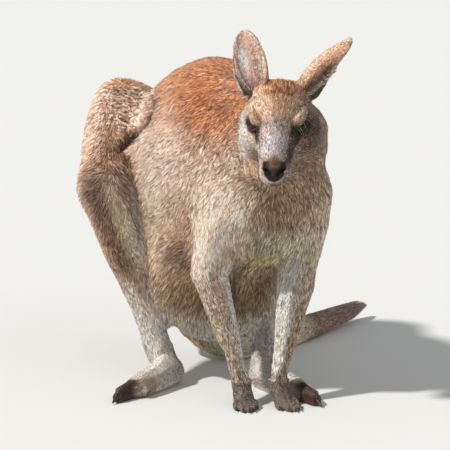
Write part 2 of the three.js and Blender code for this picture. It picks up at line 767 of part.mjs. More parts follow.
// Head, ears and eyes.
let head = mesh([...bodyFlesh], box3([-190, -270, 420], [180, 80, 660]), 6, TRIANGLES.head);
head = head.intersect(headRegion(0));
for (const [side, { j }] of Object.entries(legs)) {
  const eye = inHead(EYE_SIDE * j.side, 1, EYE_LIFT);
  const radii = [EYE_RADIUS, EYE_RADIUS, EYE_RADIUS];
  head = head.subtract(ballSolid(eye, radii, GAP, [10, 6])).subtract(earSolid(EARS[side], GAP));
  body = body.subtract(earSolid(EARS[side], GAP));
  node("eye_" + side, ballSolid(eye, radii, 0, [10, 6]), "eye");
  node("ear_" + side, earSolid(EARS[side], 0), "coat");
}
node("head", head, "coat");

// Feet and hands come from finer blocks and meet the limbs at two levels.
const below = ([x, y], half, top) => (grow) =>
  boxSolid([x - half, y - half, -50], [x + half, y + half, top], grow);

for (const [side, leg] of Object.entries(legs)) {
  body = body.subtract(below(leg.j.ankle, 60, ANKLE_HEIGHT)(GAP));
  body = body.subtract(below(leg.j.wrist, 45, WRIST_HEIGHT)(GAP));

  const low = around([add(leg.foot.body), ...leg.foot.toes.map((t) => add(t.shape))], 24);
  low.max.z = ANKLE_HEIGHT + 14;
  let foot = mesh(footFlesh(leg), low, 4.5, TRIANGLES.foot);
  foot = foot.intersect(below(leg.j.ankle, 400, ANKLE_HEIGHT)(0));
  const toes = {};
  for (const toe of leg.foot.toes) {
    toes[toe.name] = foot.intersect(toe.region(0));
    foot = foot.subtract(toe.region(GAP));
  }
  for (const claw of leg.foot.claws) {
    toes[claw.owner] = toes[claw.owner].subtract(loft(claw.shape, 5, GAP));
    foot = foot.subtract(loft(claw.shape, 5, GAP));
    node(`${claw.name}_${side}`, loft(claw.shape, 5), "claw");
  }
  for (const [name, solid] of Object.entries(toes)) node(`${name}_${side}`, solid, "dark");
  node("hind_foot_" + side, foot, "coat");

  const paw = around([add(leg.hand.palm), ...leg.hand.fingers.map((f) => add(f.shape))], 20);
  paw.max.z = WRIST_HEIGHT + 14;
  let hand = mesh(handFlesh(leg), paw, 3.6, TRIANGLES.hand);
  hand = hand.intersect(below(leg.j.wrist, 400, WRIST_HEIGHT)(0));
  for (const { claw } of leg.hand.fingers) {
    hand = hand.subtract(loft(claw.shape, 4, GAP));
    node(`${claw.name}_${side}`, loft(claw.shape, 4), "claw");
  }
  node("hand_" + side, hand, "dark");
}

// Tail, hind limbs and forelimbs. Each region is a coarse tube a little fatter than its limb.
function tube(points, fat, every, sides = 8) {
  const kept = points.filter((_, i) => i % every === 0 || i === points.length - 1);
  const full = kept.map((s) => ({ ...s, w: s.w + fat, h: s.h + fat }));
  return (grow) => loft(full, sides, grow);
}
const within = (region, side, inner) => (grow) => {
  const edges = [MIDPLANE + side * (inner - grow), MIDPLANE + side * 400].sort((a, b) => a - b);
  return region(grow).intersect(boxSolid([edges[0], -400, -50], [edges[1], 900, 800]));
};
take("tail_tip", tube(tail.slice(48), 12, 6), "dark");
take("tail_mid", tube(tail.slice(30, 49), 12, 6), "coat");
take("tail_base", tube(tail.slice(0, 31), 16, 6), "coat");
for (const [side, leg] of Object.entries(legs)) {
  const s = leg.j.side;
  take("shank_" + side, tube(leg.shank.slice(4), 14, 8), "coat");
  take("thigh_" + side, within(tube(leg.thigh, 18, 6), s, 56), "coat");
  take("forearm_" + side, tube(leg.lower, 12, 8), "coat");
  take("upper_arm_" + side, within(tube(leg.upper, 14, 9), s, 30), "coat");
}

// Neck, pouch and the three lengths of the trunk.
const NECK_CUT = new THREE.Matrix4()
  .makeRotationX(THREE.MathUtils.degToRad(53))
  .setPosition(MIDPLANE, 12, 505);
take("neck", (grow) => boxSolid([-300, -300, -grow], [300, 300, 400], 0, NECK_CUT), "coat");
take("pouch", (grow) => ballSolid(pouch.centre, pouch.radii, grow + 8, [10, 5]), "pale");
take("chest", (grow) => boxSolid([-400, -400, -50], [400, 150 + grow, 900]), "coat");
take("rump", (grow) => boxSolid([-400, 470 - grow, -50], [400, 1200, 900]), "coat");
node("abdomen", body, "coat");

// ---------------------------------------------------------------- finishes and the part
const FINISH = {
  coat: { color: 0xa9805a, roughness: 0.9 },
  pale: { color: 0xc2a987, roughness: 0.9 },
  dark: { color: 0x4a382c, roughness: 0.85 },
  claw: { color: 0x1c1917, roughness: 0.35 },
  eye: { color: 0x1a100a, roughness: 0.08 },
};

const bottom = new THREE.Box3();
for (const { solid } of nodes) {
  const { min, max } = solid.boundingBox();
  bottom.expandByPoint(vec(min)).expandByPoint(vec(max));
}
const origin = bottom.getCenter(new THREE.Vector3()).setZ(bottom.min.z);

const group = new THREE.Group();
for (const { name, solid, finish } of nodes) {
  const { numProp, vertProperties, triVerts } = solid.getMesh();
  const positions = new Float32Array((vertProperties.length / numProp) * 3);
  for (let i = 0; i < positions.length / 3; i++)
    for (let axis = 0; axis < 3; axis++)
      positions[3 * i + axis] = vertProperties[numProp * i + axis] - origin.getComponent(axis);
  const geometry = new THREE.BufferGeometry();
  geometry.setAttribute("position", new THREE.BufferAttribute(positions, 3));
  geometry.setIndex(new THREE.BufferAttribute(new Uint32Array(triVerts), 1));
  geometry.computeVertexNormals();
  const material = new THREE.MeshStandardMaterial(FINISH[finish]);
  const part = new THREE.Mesh(geometry, material);
  part.name = name;
  group.add(part);
}

export default group;
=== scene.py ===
# %% [markdown]
# # A kangaroo in three layers
# This lesson dresses the plain solids of a life-size kangaroo doe. The real animal has a skin that
# follows her muscles, a coat that lies on the skin, and a few hard or wet parts: claws and eyes. The
# model has the same layers, so each can be judged on its own. Lengths are in metres unless a
# comment says millimetres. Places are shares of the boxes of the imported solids, or lie on the
# head's own axes. Some were chosen by hand, and others began as points that a separate program
# found by casting rays onto the solids; a cleaner script would work them out from a few sizes.

import math

import bmesh
import bpy
import numpy as np
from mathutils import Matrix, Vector
from mathutils.bvhtree import BVHTree
from mathutils.kdtree import KDTree


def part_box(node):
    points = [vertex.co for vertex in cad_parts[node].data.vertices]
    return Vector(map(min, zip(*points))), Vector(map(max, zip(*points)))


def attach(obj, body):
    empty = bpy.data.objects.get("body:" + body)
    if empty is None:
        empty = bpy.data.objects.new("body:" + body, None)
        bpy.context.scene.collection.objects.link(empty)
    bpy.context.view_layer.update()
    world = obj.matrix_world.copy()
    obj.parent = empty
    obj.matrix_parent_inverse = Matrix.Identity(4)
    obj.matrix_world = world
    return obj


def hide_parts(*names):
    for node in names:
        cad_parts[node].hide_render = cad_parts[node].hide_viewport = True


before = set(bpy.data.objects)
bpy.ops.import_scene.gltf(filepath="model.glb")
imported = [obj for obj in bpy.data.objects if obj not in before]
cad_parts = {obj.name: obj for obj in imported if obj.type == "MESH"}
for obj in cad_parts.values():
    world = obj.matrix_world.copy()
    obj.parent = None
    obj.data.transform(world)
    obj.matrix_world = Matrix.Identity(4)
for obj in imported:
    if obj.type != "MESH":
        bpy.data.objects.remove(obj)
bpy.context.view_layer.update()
rng = np.random.default_rng(11)

# %% [markdown]
# ## Places on the animal
# A place is given as a share of a solid's own box: 0 is its low side and 1 its high side. The head
# is turned and tipped, so it gets axes of its own, from one eye to the other and along the muzzle.

# %% Places and the head's axes
def place(node, x=0.5, y=0.5, z=0.5):
    """A point inside a solid's box, by shares of its three sides."""
    low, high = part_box(node)
    return np.array([a + (b - a) * s for a, b, s in zip(low, high, (x, y, z))])


def unit(v):
    return v / np.maximum(np.linalg.norm(v, axis=-1, keepdims=True), 1e-9)


HEAD_DIP = math.radians(33)  # muzzle below the horizontal
EYES = {-1: place("eye_right"), 1: place("eye_left")}
EYE_RADIUS = 0.0145
TO_LEFT = unit((EYES[1] - EYES[-1]) * [1, 1, 0])
level = np.array([TO_LEFT[1], -TO_LEFT[0], 0])
AHEAD = level * math.cos(HEAD_DIP) - np.array([0, 0, math.sin(HEAD_DIP)])
CROWN = level * math.sin(HEAD_DIP) + np.array([0, 0, math.cos(HEAD_DIP)])
HEAD_AXES = np.array([TO_LEFT, AHEAD, CROWN])
# The centre lies just behind and below the middle between the eyes.
HEAD_CENTRE = (EYES[-1] + EYES[1]) / 2 - AHEAD * 0.003 - CROWN * 0.004


def on_head(points):
    """Points in the head's own axes, in millimetres: to her left, ahead, up."""
    return (points - HEAD_CENTRE) @ HEAD_AXES.T * 1000


def from_head(left, ahead, up):
    return HEAD_CENTRE + np.array([left, ahead, up]) / 1000 @ HEAD_AXES


print("head centre:", HEAD_CENTRE.round(3), "muzzle points to:", AHEAD.round(2))

# %% [markdown]
# ## Camera
# The camera stands four and a half metres off, a little above her back, and looks past her right
# shoulder with a long lens. It is placed from the two hands, which mark where she stands.

# %% Camera
hands = (place("hand_left", z=0) + place("hand_right", z=0)) / 2
AZIMUTH, DIP = math.radians(-24), math.radians(9)
STAND_OFF, LENS_HEIGHT = (-1.855, -3.979), 1.056  # from the hands to below the lens, and up from the floor
look = Vector((-math.sin(AZIMUTH) * math.cos(DIP), math.cos(AZIMUTH) * math.cos(DIP), -math.sin(DIP)))
camera = bpy.data.objects.new("camera", bpy.data.cameras.new("camera"))
bpy.context.collection.objects.link(camera)
camera.location = (hands[0] + STAND_OFF[0], hands[1] + STAND_OFF[1], LENS_HEIGHT)
camera.rotation_mode = "QUATERNION"
camera.rotation_quaternion = look.to_track_quat("-Z", "Y")
camera.data.lens = 184.64
camera.data.sensor_width = 36
bpy.context.scene.camera = camera
print("camera:", [round(c, 4) for c in camera.location])

# %% [markdown]
# ## Floor and light
# A plain pale floor runs far enough to fill the view. One broad lamp stands high on her right like
# a low sun through thin cloud, a wide one fills the front, and the sky is even. Together they are
# set so that a mid-tone comes out about as its colour is written.

# %% Floor, sky and lamps
def link(obj):
    bpy.context.collection.objects.link(obj)
    return obj


def plain_object(name, points, faces):
    mesh = bpy.data.meshes.new(name)
    mesh.from_pydata([tuple(p) for p in points], [], [tuple(f) for f in faces])
    mesh.update()
    return link(bpy.data.objects.new(name, mesh))


floor_material = bpy.data.materials.new("pale_floor")
floor_material.use_nodes = True
floor_shader = floor_material.node_tree.nodes["Principled BSDF"]
floor_shader.inputs["Base Color"].default_value = (0.74, 0.74, 0.72, 1)
floor_shader.inputs["Roughness"].default_value = 0.85
floor_shader.inputs["Specular IOR Level"].default_value = 0.2
FLOOR_HALF, FLOOR_GAP = 30, 0.0005  # half the floor's side, and its distance below the feet
floor_corners = [(x * FLOOR_HALF, y * FLOOR_HALF, 0) for x, y in ((-1, -1), (1, -1), (1, 1), (-1, 1))]
floor = plain_object("floor", floor_corners, [(0, 1, 2, 3)])
floor.location.z = -FLOOR_GAP
floor.data.materials.append(floor_material)

world = bpy.data.worlds.new("even_sky")
bpy.context.scene.world = world
world.use_nodes = True
world.node_tree.nodes["Background"].inputs["Color"].default_value = (0.94, 0.97, 1.0, 1)
world.node_tree.nodes["Background"].inputs["Strength"].default_value = 0.40


def sun(name, azimuth, elevation, strength, softness, colour):
    """A lamp far away on the given bearing; 0 is straight before her, 90 on her right."""
    lamp = bpy.data.lights.new(name, "SUN")
    lamp.energy, lamp.angle, lamp.color = strength, math.radians(softness), colour
    obj = link(bpy.data.objects.new(name, lamp))
    a, e = math.radians(azimuth), math.radians(elevation)
    way = Vector((math.sin(a) * math.cos(e), math.cos(a) * math.cos(e), -math.sin(e)))
    obj.rotation_mode = "QUATERNION"
    obj.rotation_quaternion = way.to_track_quat("-Z", "Y")


sun("key_lamp", 80, 48, 3.3, 4, (1.0, 0.975, 0.945))
sun("front_fill", -5, 25, 0.5, 60, (0.95, 0.97, 1.0))
view_settings = bpy.context.scene.view_settings
view_settings.view_transform = "Standard"

# %% [markdown]
# ## One skin
# Real skin has no seams, while the solids are cut at the joints and are faceted. So the solids are
# pushed out by a hair's breadth to close the cuts, melted into one shell of small squares, and
# smoothed: a lot over the barrel, a little on the head, hardly at all on the fingers. The other
# way, sculpting a skin by hand, would drift from the solids that carry the collision.

# %% Mesh helpers
def welded(node):
    """A solid's points and triangles, with the copies that its flat shading needs joined again."""
    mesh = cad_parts[node].data
    points = np.empty(len(mesh.vertices) * 3, np.float32)
    mesh.vertices.foreach_get("co", points)
    corners = np.empty(len(mesh.loops), np.int32)
    mesh.loops.foreach_get("vertex_index", corners)
    points = points.reshape(-1, 3).astype(float)
    _, first, back = np.unique(points.round(6), axis=0, return_index=True, return_inverse=True)
    return points[first], back.reshape(-1)[corners].reshape(-1, 3)


def point_normals(points, faces):
    """Area-weighted normals for triangles or squares."""
    a, b, c = (points[faces[:, i]] for i in (0, 1, 2))
    across = np.cross(b - a, c - a)
    if faces.shape[1] == 4:
        across = np.cross(c - a, points[faces[:, 3]] - b)
    at, sides = faces.ravel(), faces.shape[1]
    total = [np.bincount(at, np.repeat(column, sides), len(points)) for column in across.T]
    return unit(np.stack(total, axis=1))


class Web:
    """Who is next to whom on a closed mesh, for blurring what its points carry."""

    def __init__(self, faces, count):
        self.here = faces.ravel()
        self.next = np.roll(faces, -1, axis=1).ravel()
        self.count = count
        self.share = 1 / np.maximum(np.bincount(self.here, minlength=count), 1)

    def mean(self, values):
        flat = values.reshape(self.count, -1)
        sums = [np.bincount(self.here, flat[self.next, k], self.count) for k in range(flat.shape[1])]
        return (np.stack(sums, axis=1) * self.share[:, None]).reshape(values.shape)

    def blur(self, values, times, strength=1.0):
        strength = np.broadcast_to(strength, self.count).reshape(-1, *[1] * (values.ndim - 1))
        for _ in range(times):
            values = values + (self.mean(values) - values) * strength
        return values


def modified(obj):
    """Applies an object's modifiers and gives back its points and faces."""
    mesh = bpy.data.meshes.new_from_object(obj.evaluated_get(bpy.context.evaluated_depsgraph_get()))
    points = np.empty(len(mesh.vertices) * 3, np.float32)
    mesh.vertices.foreach_get("co", points)
    corners = np.empty(len(mesh.loops), np.int32)
    mesh.loops.foreach_get("vertex_index", corners)
    faces = corners.reshape(len(mesh.polygons), -1)
    bpy.data.meshes.remove(mesh)
    return points.reshape(-1, 3).astype(float), faces


# %% Melt the solids into one shell
def joined(nodes, grow=0.0):
    """The points and triangles of several solids together, each pushed out by `grow`."""
    points, faces = [], []
    for p, f in map(welded, nodes):
        faces.append(f + sum(map(len, points)))
        points.append(p + point_normals(p, f) * grow if grow else p)
    return np.vstack(points), np.vstack(faces), np.repeat(list(nodes), [len(f) for f in faces])


def melted(points, faces, voxel):
    """One closed shell of small squares round whatever is given."""
    block = plain_object("melt", points, faces)
    remesh = block.modifiers.new("voxels", "REMESH")
    remesh.mode, remesh.voxel_size = "VOXEL", voxel
    shell = modified(block)
    bpy.data.objects.remove(block)
    return shell


FLESH = sorted(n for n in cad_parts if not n.startswith(("eye", "claw")))
VOXEL = 0.002
CLOSE_CUTS = 0.0006
solid_points, solid_faces, owner = joined(FLESH + ["eye_left", "eye_right"], CLOSE_CUTS)
shell, squares = melted(solid_points, solid_faces, VOXEL)
print("shell:", len(shell), "points,", len(squares), "squares")

# %% Which solid each point belongs to
solid_tree = BVHTree.FromPolygons([tuple(p) for p in solid_points], [tuple(f) for f in solid_faces])


def nearest_solid(points):
    """The number, in FLESH, of the solid nearest each point; the eyes count as head."""
    names = np.array([(FLESH + ["head"]).index(n if n in FLESH else "head") for n in owner])
    return names[[solid_tree.find_nearest(p)[2] for p in points.tolist()]]


def by_solid(table, default):
    """A value for each solid, from a table whose keys begin the solids' names."""
    rows = [next((v for k, v in table.items() if n.startswith(k)), default) for n in FLESH]
    return np.array(rows, float)


SMOOTH = {"head": 0.0042, "ear": 0.0016, "hand": 0.002, "toe": 0.002, "hind_foot": 0.0035, "forearm": 0.005,
          "shank": 0.008, "upper_arm": 0.008, "tail_tip": 0.006, "tail_mid": 0.008, "neck": 0.010}
STEPS = 60
web = Web(squares, len(shell))
near = nearest_solid(shell)
reach = web.blur(by_solid(SMOOTH, 0.012)[near], 12)
shell = web.blur(shell, STEPS, np.minimum(2 * reach**2 / (STEPS * VOXEL**2), 1.0))
print("smoothed:", len(shell))

# %% Fewer, larger triangles away from the face
SKIN_TRIANGLES = 230_000
DETAIL = {"head": 0.0, "ear": 0.0, "hand": 0.25, "toe": 0.25}
dense = plain_object("dense", shell, squares)
group = dense.vertex_groups.new(name="plain")
plain = web.blur(by_solid(DETAIL, 1.0)[near], 6)
for weight in np.unique(plain.round(1)):
    group.add(np.flatnonzero(plain.round(1) == weight).tolist(), float(weight), "REPLACE")
thin = dense.modifiers.new("thin", "DECIMATE")
thin.ratio = SKIN_TRIANGLES / (2 * len(squares))
thin.vertex_group, thin.vertex_group_factor = "plain", 10
thin.use_collapse_triangulate = True
skin_points, skin_faces = modified(dense)
bpy.data.objects.remove(dense)
print("skin:", len(skin_points), "points,", len(skin_faces), "triangles")

# %% [markdown]
# ## What each place on the skin carries
# Every point of the skin gets a lie of the coat, a length, a colour and so on. Each starts as one
# plain value per solid, is blurred over the skin so that no step shows at a cut, and is then
# touched up along short named lines, such as the crease before the thigh.

# %% Smaller squares round the eyes, on the muzzle and under the woolly patch
def split_where(points, faces, inside):
    """Cuts the chosen triangles in four, and their neighbours so that nothing gapes."""
    bm = bmesh.new()
    verts = [bm.verts.new(p) for p in points.tolist()]
    for f in faces.tolist():
        bm.faces.new([verts[i] for i in f])
    bm.faces.ensure_lookup_table()
    edges = {e for i in np.flatnonzero(inside) for e in bm.faces[i].edges}
    bmesh.ops.subdivide_edges(bm, edges=list(edges), cuts=1, use_grid_fill=True)
    bmesh.ops.triangulate(bm, faces=bm.faces[:])
    bm.verts.index_update()
    new_points = np.array([v.co[:] for v in bm.verts])
    new_faces = np.array([[v.index for v in f.verts] for f in bm.faces])
    bm.free()
    return new_points, new_faces


def soft(x, low, high):
    """0 below `low`, 1 above `high`, and a smooth ramp between."""
    t = np.clip((x - low) / (high - low), 0, 1)
    return t * t * (3 - 2 * t)


def close_to_eyes(points, distance):
    return np.minimum(*(np.linalg.norm(points - EYES[s], axis=1) for s in (-1, 1))) < distance


middle = skin_points[skin_faces].mean(axis=1)
muzzle_end = np.linalg.norm((on_head(middle) - [0, 118, -18]) * [1, 1, 0.9], axis=1) < 34
skin_points, skin_faces = split_where(skin_points, skin_faces, close_to_eyes(middle, 0.026) | muzzle_end)
middle = skin_points[skin_faces].mean(axis=1)
skin_points, skin_faces = split_where(skin_points, skin_faces, close_to_eyes(middle, 0.0165))
WOOL = place("thigh_right", 0.66, 0.38, 0.79)  # the woolly patch, behind the crease before the thigh


def off_wool(points):
    """Distance from the middle of the woolly patch, which is an oval."""
    return np.linalg.norm((points - WOOL) * [0.7, 0.9, 1], axis=1)


middle = skin_points[skin_faces].mean(axis=1)
woolly = off_wool(middle) < 0.085
skin_points, skin_faces = split_where(skin_points, skin_faces, woolly & (middle[:, 0] < WOOL[0] + 0.05))
print("skin:", len(skin_points), "points,", len(skin_faces), "triangles")

# %% Depth, length and lie of the coat for each solid
# Length, the part of it that stands above the skin, and width, all in mm; then how densely tufts
# grow, next to the other solids, and how grizzled they are.
COAT = {
    "head": (6.6, 1.8, 0.56, 900, 0.72),
    "ear": (4.5, 0.7, 0.55, 520, 0.53),
    "neck": (15, 6.0, 0.85, 280, 0.81),
    "chest": (18, 7.5, 0.95, 235, 0.74),
    "abdomen": (21, 8.5, 1.0, 180, 0.46),
    "rump": (21, 8.0, 1.15, 130, 0.48),
    "pouch": (20, 7.5, 1.15, 140, 0.56),
    "thigh": (19, 8.0, 1.1, 190, 0.65),
    "shank": (12, 4.0, 0.85, 300, 0.62),
    "hind_foot": (6.5, 1.5, 0.7, 400, 0.65),
    "toe": (4.5, 0.9, 0.6, 420, 0.62),
    "upper_arm": (17, 6.0, 1.0, 250, 0.65),
    "forearm": (10.5, 3.4, 0.78, 420, 0.85),
    "hand": (5.5, 1.6, 0.6, 560, 0.78),
    "tail_base": (18, 6.0, 1.2, 115, 0.59),
    "tail_mid": (13, 4.0, 1.0, 170, 0.62),
    "tail_tip": (11, 2.8, 0.9, 200, 0.62),
}
LIE = {  # which way the hair points, before the pull of the slope below is added
    "head": tuple(-AHEAD),
    "ear_right": (0.0, 0.5, 0.9),
    "ear_left": (0.65, -0.15, 0.75),
    "neck": (-0.05, 0.28, 0),
    "chest": (0, 0.7, 0),
    "abdomen": (0, 1.4, 0),
    "rump": (0, 0.8, -0.3),
    "pouch": (0, 0.4, -0.2),
    "thigh": (0, 0.2, -0.2),
    "shank_right": (0.24, -0.29, -0.93),
    "shank_left": (-0.2, -0.45, -0.87),
    "hind_foot_right": (-0.82, -0.57, -0.15),
    "hind_foot_left": (0.14, -0.98, -0.15),
    "toe_fourth_right": (-0.82, -0.57, -0.1),
    "toe_fifth_right": (-0.82, -0.57, -0.1),
    "toe_joined_right": (-0.82, -0.57, -0.1),
    "toe": (0.14, -0.98, -0.1),
    "upper_arm": (-0.02, 0.12, -0.3),
    "forearm_right": (0.2, -0.27, -0.94),
    "forearm_left": (-0.24, -0.12, -0.96),
    "hand": (0, -0.9, -0.4),
    "tail_base": (0.15, -0.6, -0.8),
    "tail_mid": (0.85, 0.52, 0),
    "tail_tip": (0.8, 0.58, 0),
}
DOWNHILL = {"neck": 1, "chest": 1, "abdomen": 1, "rump": 0.8, "pouch": 0.8, "thigh": 0.9, "upper_arm": 0.7}
skin_web = Web(skin_faces, len(skin_points))
skin_near = nearest_solid(skin_points)
coat = skin_web.blur(by_solid(COAT, (8, 2, 1, 100, 0.4))[skin_near], 30)
length, depth, width = coat[:, :3].T / 1000
density, grizzled = coat[:, 3:].T
flow = skin_web.blur(by_solid(LIE, (0, 0, -1))[skin_near], 40)
slope = point_normals(skin_points, skin_faces)
downhill = slope * slope[:, 2:] - np.array([0, 0, 1])
flow = unit(flow + downhill * skin_web.blur(by_solid(DOWNHILL, 0)[skin_near], 40)[:, None])
thin_out = soft(skin_points[:, 2], 0.001, 0.018)  # no hair under the soles and the tail
length, depth = length * (0.3 + 0.7 * thin_out), depth * thin_out
print("coat length:", length.min().round(4), "to", length.max().round(4))


# %% Named lines and soft edges
def off_line(points, path):
    """Distance to a line through a few points."""
    best = np.full(len(points), 1e9)
    for a, b in zip(path[:-1], path[1:]):
        t = np.clip((points - a) @ (b - a) / max((b - a) @ (b - a), 1e-12), 0, 1)
        best = np.minimum(best, np.linalg.norm(points - a - t[:, None] * (b - a), axis=1))
    return best


def ridge_of(values, size):
    """1 where the values are nought, falling off smoothly on both sides."""
    return np.exp(-((values / size) ** 2))


def places(*rows):
    """Several places, each written as a solid's name and its three shares."""
    return [place(node, *shares) for node, *shares in rows]


def waves(points, size, seed, count=9):
    """Smooth lumps of about the given size, from -1 to 1, the same on each run."""
    local = np.random.default_rng(seed)
    total = np.zeros(len(points))
    for _ in range(count):
        way = unit(local.normal(size=3)) * 2 * np.pi / size * local.uniform(0.6, 1.4)
        total += np.sin(points @ way + local.uniform(0, 2 * np.pi))
    return total / math.sqrt(count / 2) / 2


# Before the right thigh, from the top of the hip down. All but the first are close to cast points.
CREASE = places(
    ("abdomen", 0.356, 0.720, 0.855),
    ("abdomen", 0.350, 0.655, 0.826),
    ("abdomen", 0.323, 0.575, 0.792),
    ("abdomen", 0.309, 0.590, 0.753),
    ("abdomen", 0.299, 0.680, 0.712),
    ("abdomen", 0.278, 0.745, 0.678),
    ("abdomen", 0.225, 0.700, 0.641),
)
CREASE_WIDTH = 0.011
crease_gap = off_line(skin_points, CREASE)
wool = 1 - soft(off_wool(skin_points), 0.050, 0.080)
wool *= soft(-(skin_points[:, 0] - place("thigh_right", x=1.0)[0]), -0.03, 0.02)
wool *= soft(skin_points[:, 0], WOOL[0] - 0.065, WOOL[0] - 0.015)
curl = ridge_of(waves(skin_points, 0.024, 31, 14), 0.22) * wool  # 1 in the gaps between curls
length = length * (1 - 0.5 * ridge_of(crease_gap, CREASE_WIDTH))
print("in the crease:", int((crease_gap < CREASE_WIDTH).sum()), "in the wool:", int((wool > 0.5).sum()))

# %% The cup of each ear
EARS = {  # root and tip of the ear's spine in its box, where its hollow faces, how much the spine bows
    "ear_right": ((0.60, 0.24, 0.07), (0.62, 0.98, 0.99), (-0.5, -0.87, 0), 0.006),
    "ear_left": ((0.14, 0.60, 0.13), (0.98, 0.30, 0.99), (0.78, 0.1, -0.5), 0.017),
}
# How far the cup's back lies from the spine, in metres, at shares of the ear's length.
CUP = ([0, 0.12, 0.28, 0.45, 0.62, 0.77, 0.89, 1], np.array([23, 28, 32, 33, 35, 33, 26, 7]) / 1000)
ear_along, ear_round, ear_inner = (np.zeros(len(skin_points)) for _ in range(3))
ear_part = {name: np.array([n == name for n in FLESH])[skin_near] for name in EARS}
ear_way = {}
for name, (root, tip, opening, bow) in EARS.items():
    root, tip = place(name, *root), place(name, *tip)
    axis = unit(tip - root)
    hollow = unit(np.array(opening) - axis * (np.array(opening) @ axis))
    sideways = np.cross(axis, hollow)
    t = np.clip((skin_points - root) @ axis / np.linalg.norm(tip - root), 0, 1)
    back_off = np.interp(t, *CUP) - 0.019 * (1 - t) ** 2 - bow * np.sin(np.pi * t)
    centre = root + axis * (t * np.linalg.norm(tip - root))[:, None] + hollow * back_off[:, None]
    away = skin_points - centre
    mine = ear_part[name]
    ear_along = np.where(mine, t, ear_along)
    ear_round = np.where(mine, np.arctan2(away @ sideways, -(away @ hollow)), ear_round)
    ear_inner = np.where(mine, soft(-(unit(away) * slope).sum(axis=1), -0.2, 0.4), ear_inner)
    ear_way[name] = (axis, hollow, sideways)
    print(name, "turn of the rim", np.percentile(ear_round[mine], [1, 99]).round(2))

# %% Lay the skin under the coat and press in the folds
normals = point_normals(skin_points, skin_faces)
skin_points = skin_points - normals * depth[:, None]


def press(path, size, amount):
    """Pushes the skin in (or out, if negative) beside a line given on the head, in millimetres."""
    global skin_points
    gap = off_line(on_head(skin_points), [np.array(p, float) for p in path])
    skin_points = skin_points - normals * (amount * ridge_of(gap, size))[:, None] / 1000


FACE_FOLDS = [  # a line from the midline out, its width, and how far it is pressed in (all mm)
    ([(9, 127, -13), (12, 124, -9), (17, 118, -8), (19, 116, -13)], 3.1, 7.5),  # nostril
    ([(9, 127, -3), (16, 118, 0), (23, 108, -4)], 2.6, -1.6),  # rim above the nostril
    ([(8, 128, -16), (14, 124, -16)], 3.0, -1.4),  # wing of the nostril
    ([(6, 126, -27), (16, 118, -29), (23, 104, -33)], 6.0, -1.6),  # upper lip
    ([(0, 125, -38), (12, 118, -39), (24, 92, -41), (31, 62, -44)], 1.8, 3.4),  # mouth
    ([(33, 26, 19), (44, 9, 26), (50, -13, 27)], 6.5, -4.6),  # brow
    ([(33, 32, -4), (27, 62, -7)], 8.0, 3.4),  # hollow below the inner eye corner
    ([(34, 52, -26), (31, 88, -26)], 11.0, 2.0),  # side of the muzzle
    ([(54, 2, -22), (52, 26, -38)], 12.0, -2.6),  # cheekbone
    ([(60, -26, -34), (58, -6, -52)], 22.0, -3.0),  # full cheek
]
MIDDLE_FOLDS = [
    ([(0, 116, 0), (0, 124, -9)], 12.0, -2.0),  # top of the nose pad
    ([(0, 128, -19), (0, 129, -26), (0, 126, -36)], 1.6, 2.4),  # groove under the nose
    ([(-56, -32, 26), (-31, -23, 49), (-2, -24, 57), (18, -22, 55), (40, -27, 44)], 2.6, 1.3),  # on the brow
    ([(-34, -44, 56), (0, -44, 64), (30, -46, 58)], 2.6, 1.2),  # a second crease before the crown
]
fold = 0.016 * ridge_of(crease_gap, CREASE_WIDTH) + 0.0045 * curl - 0.002 * wool
skin_points = skin_points - normals * fold[:, None]
for s in (-1, 1):
    for path, size, amount in FACE_FOLDS:
        press([(out * s, ahead, up) for out, ahead, up in path], size, amount)
for path, size, amount in MIDDLE_FOLDS:
    press(path, size, amount)
print("skin laid", round(float(depth.mean() * 1000), 1), "mm under the coat")

# %% Lids
GAZE = {s: unit(np.array([0.63 * s, 0.776, -0.04])) @ HEAD_AXES for s in (-1, 1)}
LID_WIDE, LID_UP, LID_DOWN = 66, 25, 22  # half width and the two half heights, in degrees
lid_edge = np.full(len(skin_points), 99.0)
from_eye = np.full(len(skin_points), 0.099)
eye_frames = {}
for s in (-1, 1):
    away = skin_points - EYES[s]
    r = np.linalg.norm(away, axis=1)
    up = unit(CROWN - GAZE[s] * (CROWN @ GAZE[s]))
    front = AHEAD - GAZE[s] * (AHEAD @ GAZE[s])
    front = unit(front - up * (front @ up))
    eye_frames[s] = (GAZE[s], front, up)
    out, rise, fore = away @ GAZE[s], away @ up, away @ front
    turn = np.degrees(np.arctan2(fore, out))
    lift = np.degrees(np.arcsin(np.clip(rise / r, -1, 1)))
    arch = np.sqrt(np.clip(1 - (turn / LID_WIDE) ** 2, 0, 1))
    inside = np.minimum(LID_UP * arch - lift, LID_DOWN * arch + lift)
    inside = np.where(np.abs(turn) < LID_WIDE, inside, -(np.abs(turn) - LID_WIDE) - 0.6 * np.abs(lift))
    near_eye = (r < EYE_RADIUS + 0.012) & (out > -0.002)
    from_eye = np.minimum(from_eye, np.where(out > -0.01, r, 0.099))
    lid = EYE_RADIUS + 0.0017 + 0.0012 * np.exp(-(((inside + 3) / 4) ** 2))
    shape = lid - 0.0060 * soft(inside, -0.5, 4.0)
    hold = (1 - soft(-inside, 6, 24)) * near_eye
    new_r = r + (shape - r) * hold
    skin_points = np.where(near_eye[:, None], EYES[s] + away * (new_r / r)[:, None], skin_points)
    lid_edge = np.where(near_eye, np.minimum(lid_edge, -inside), lid_edge)
skin_points = skin_web.blur(skin_points, 1, 0.35)
normals = point_normals(skin_points, skin_faces)
print("points on the lids:", int((lid_edge < 6).sum()))
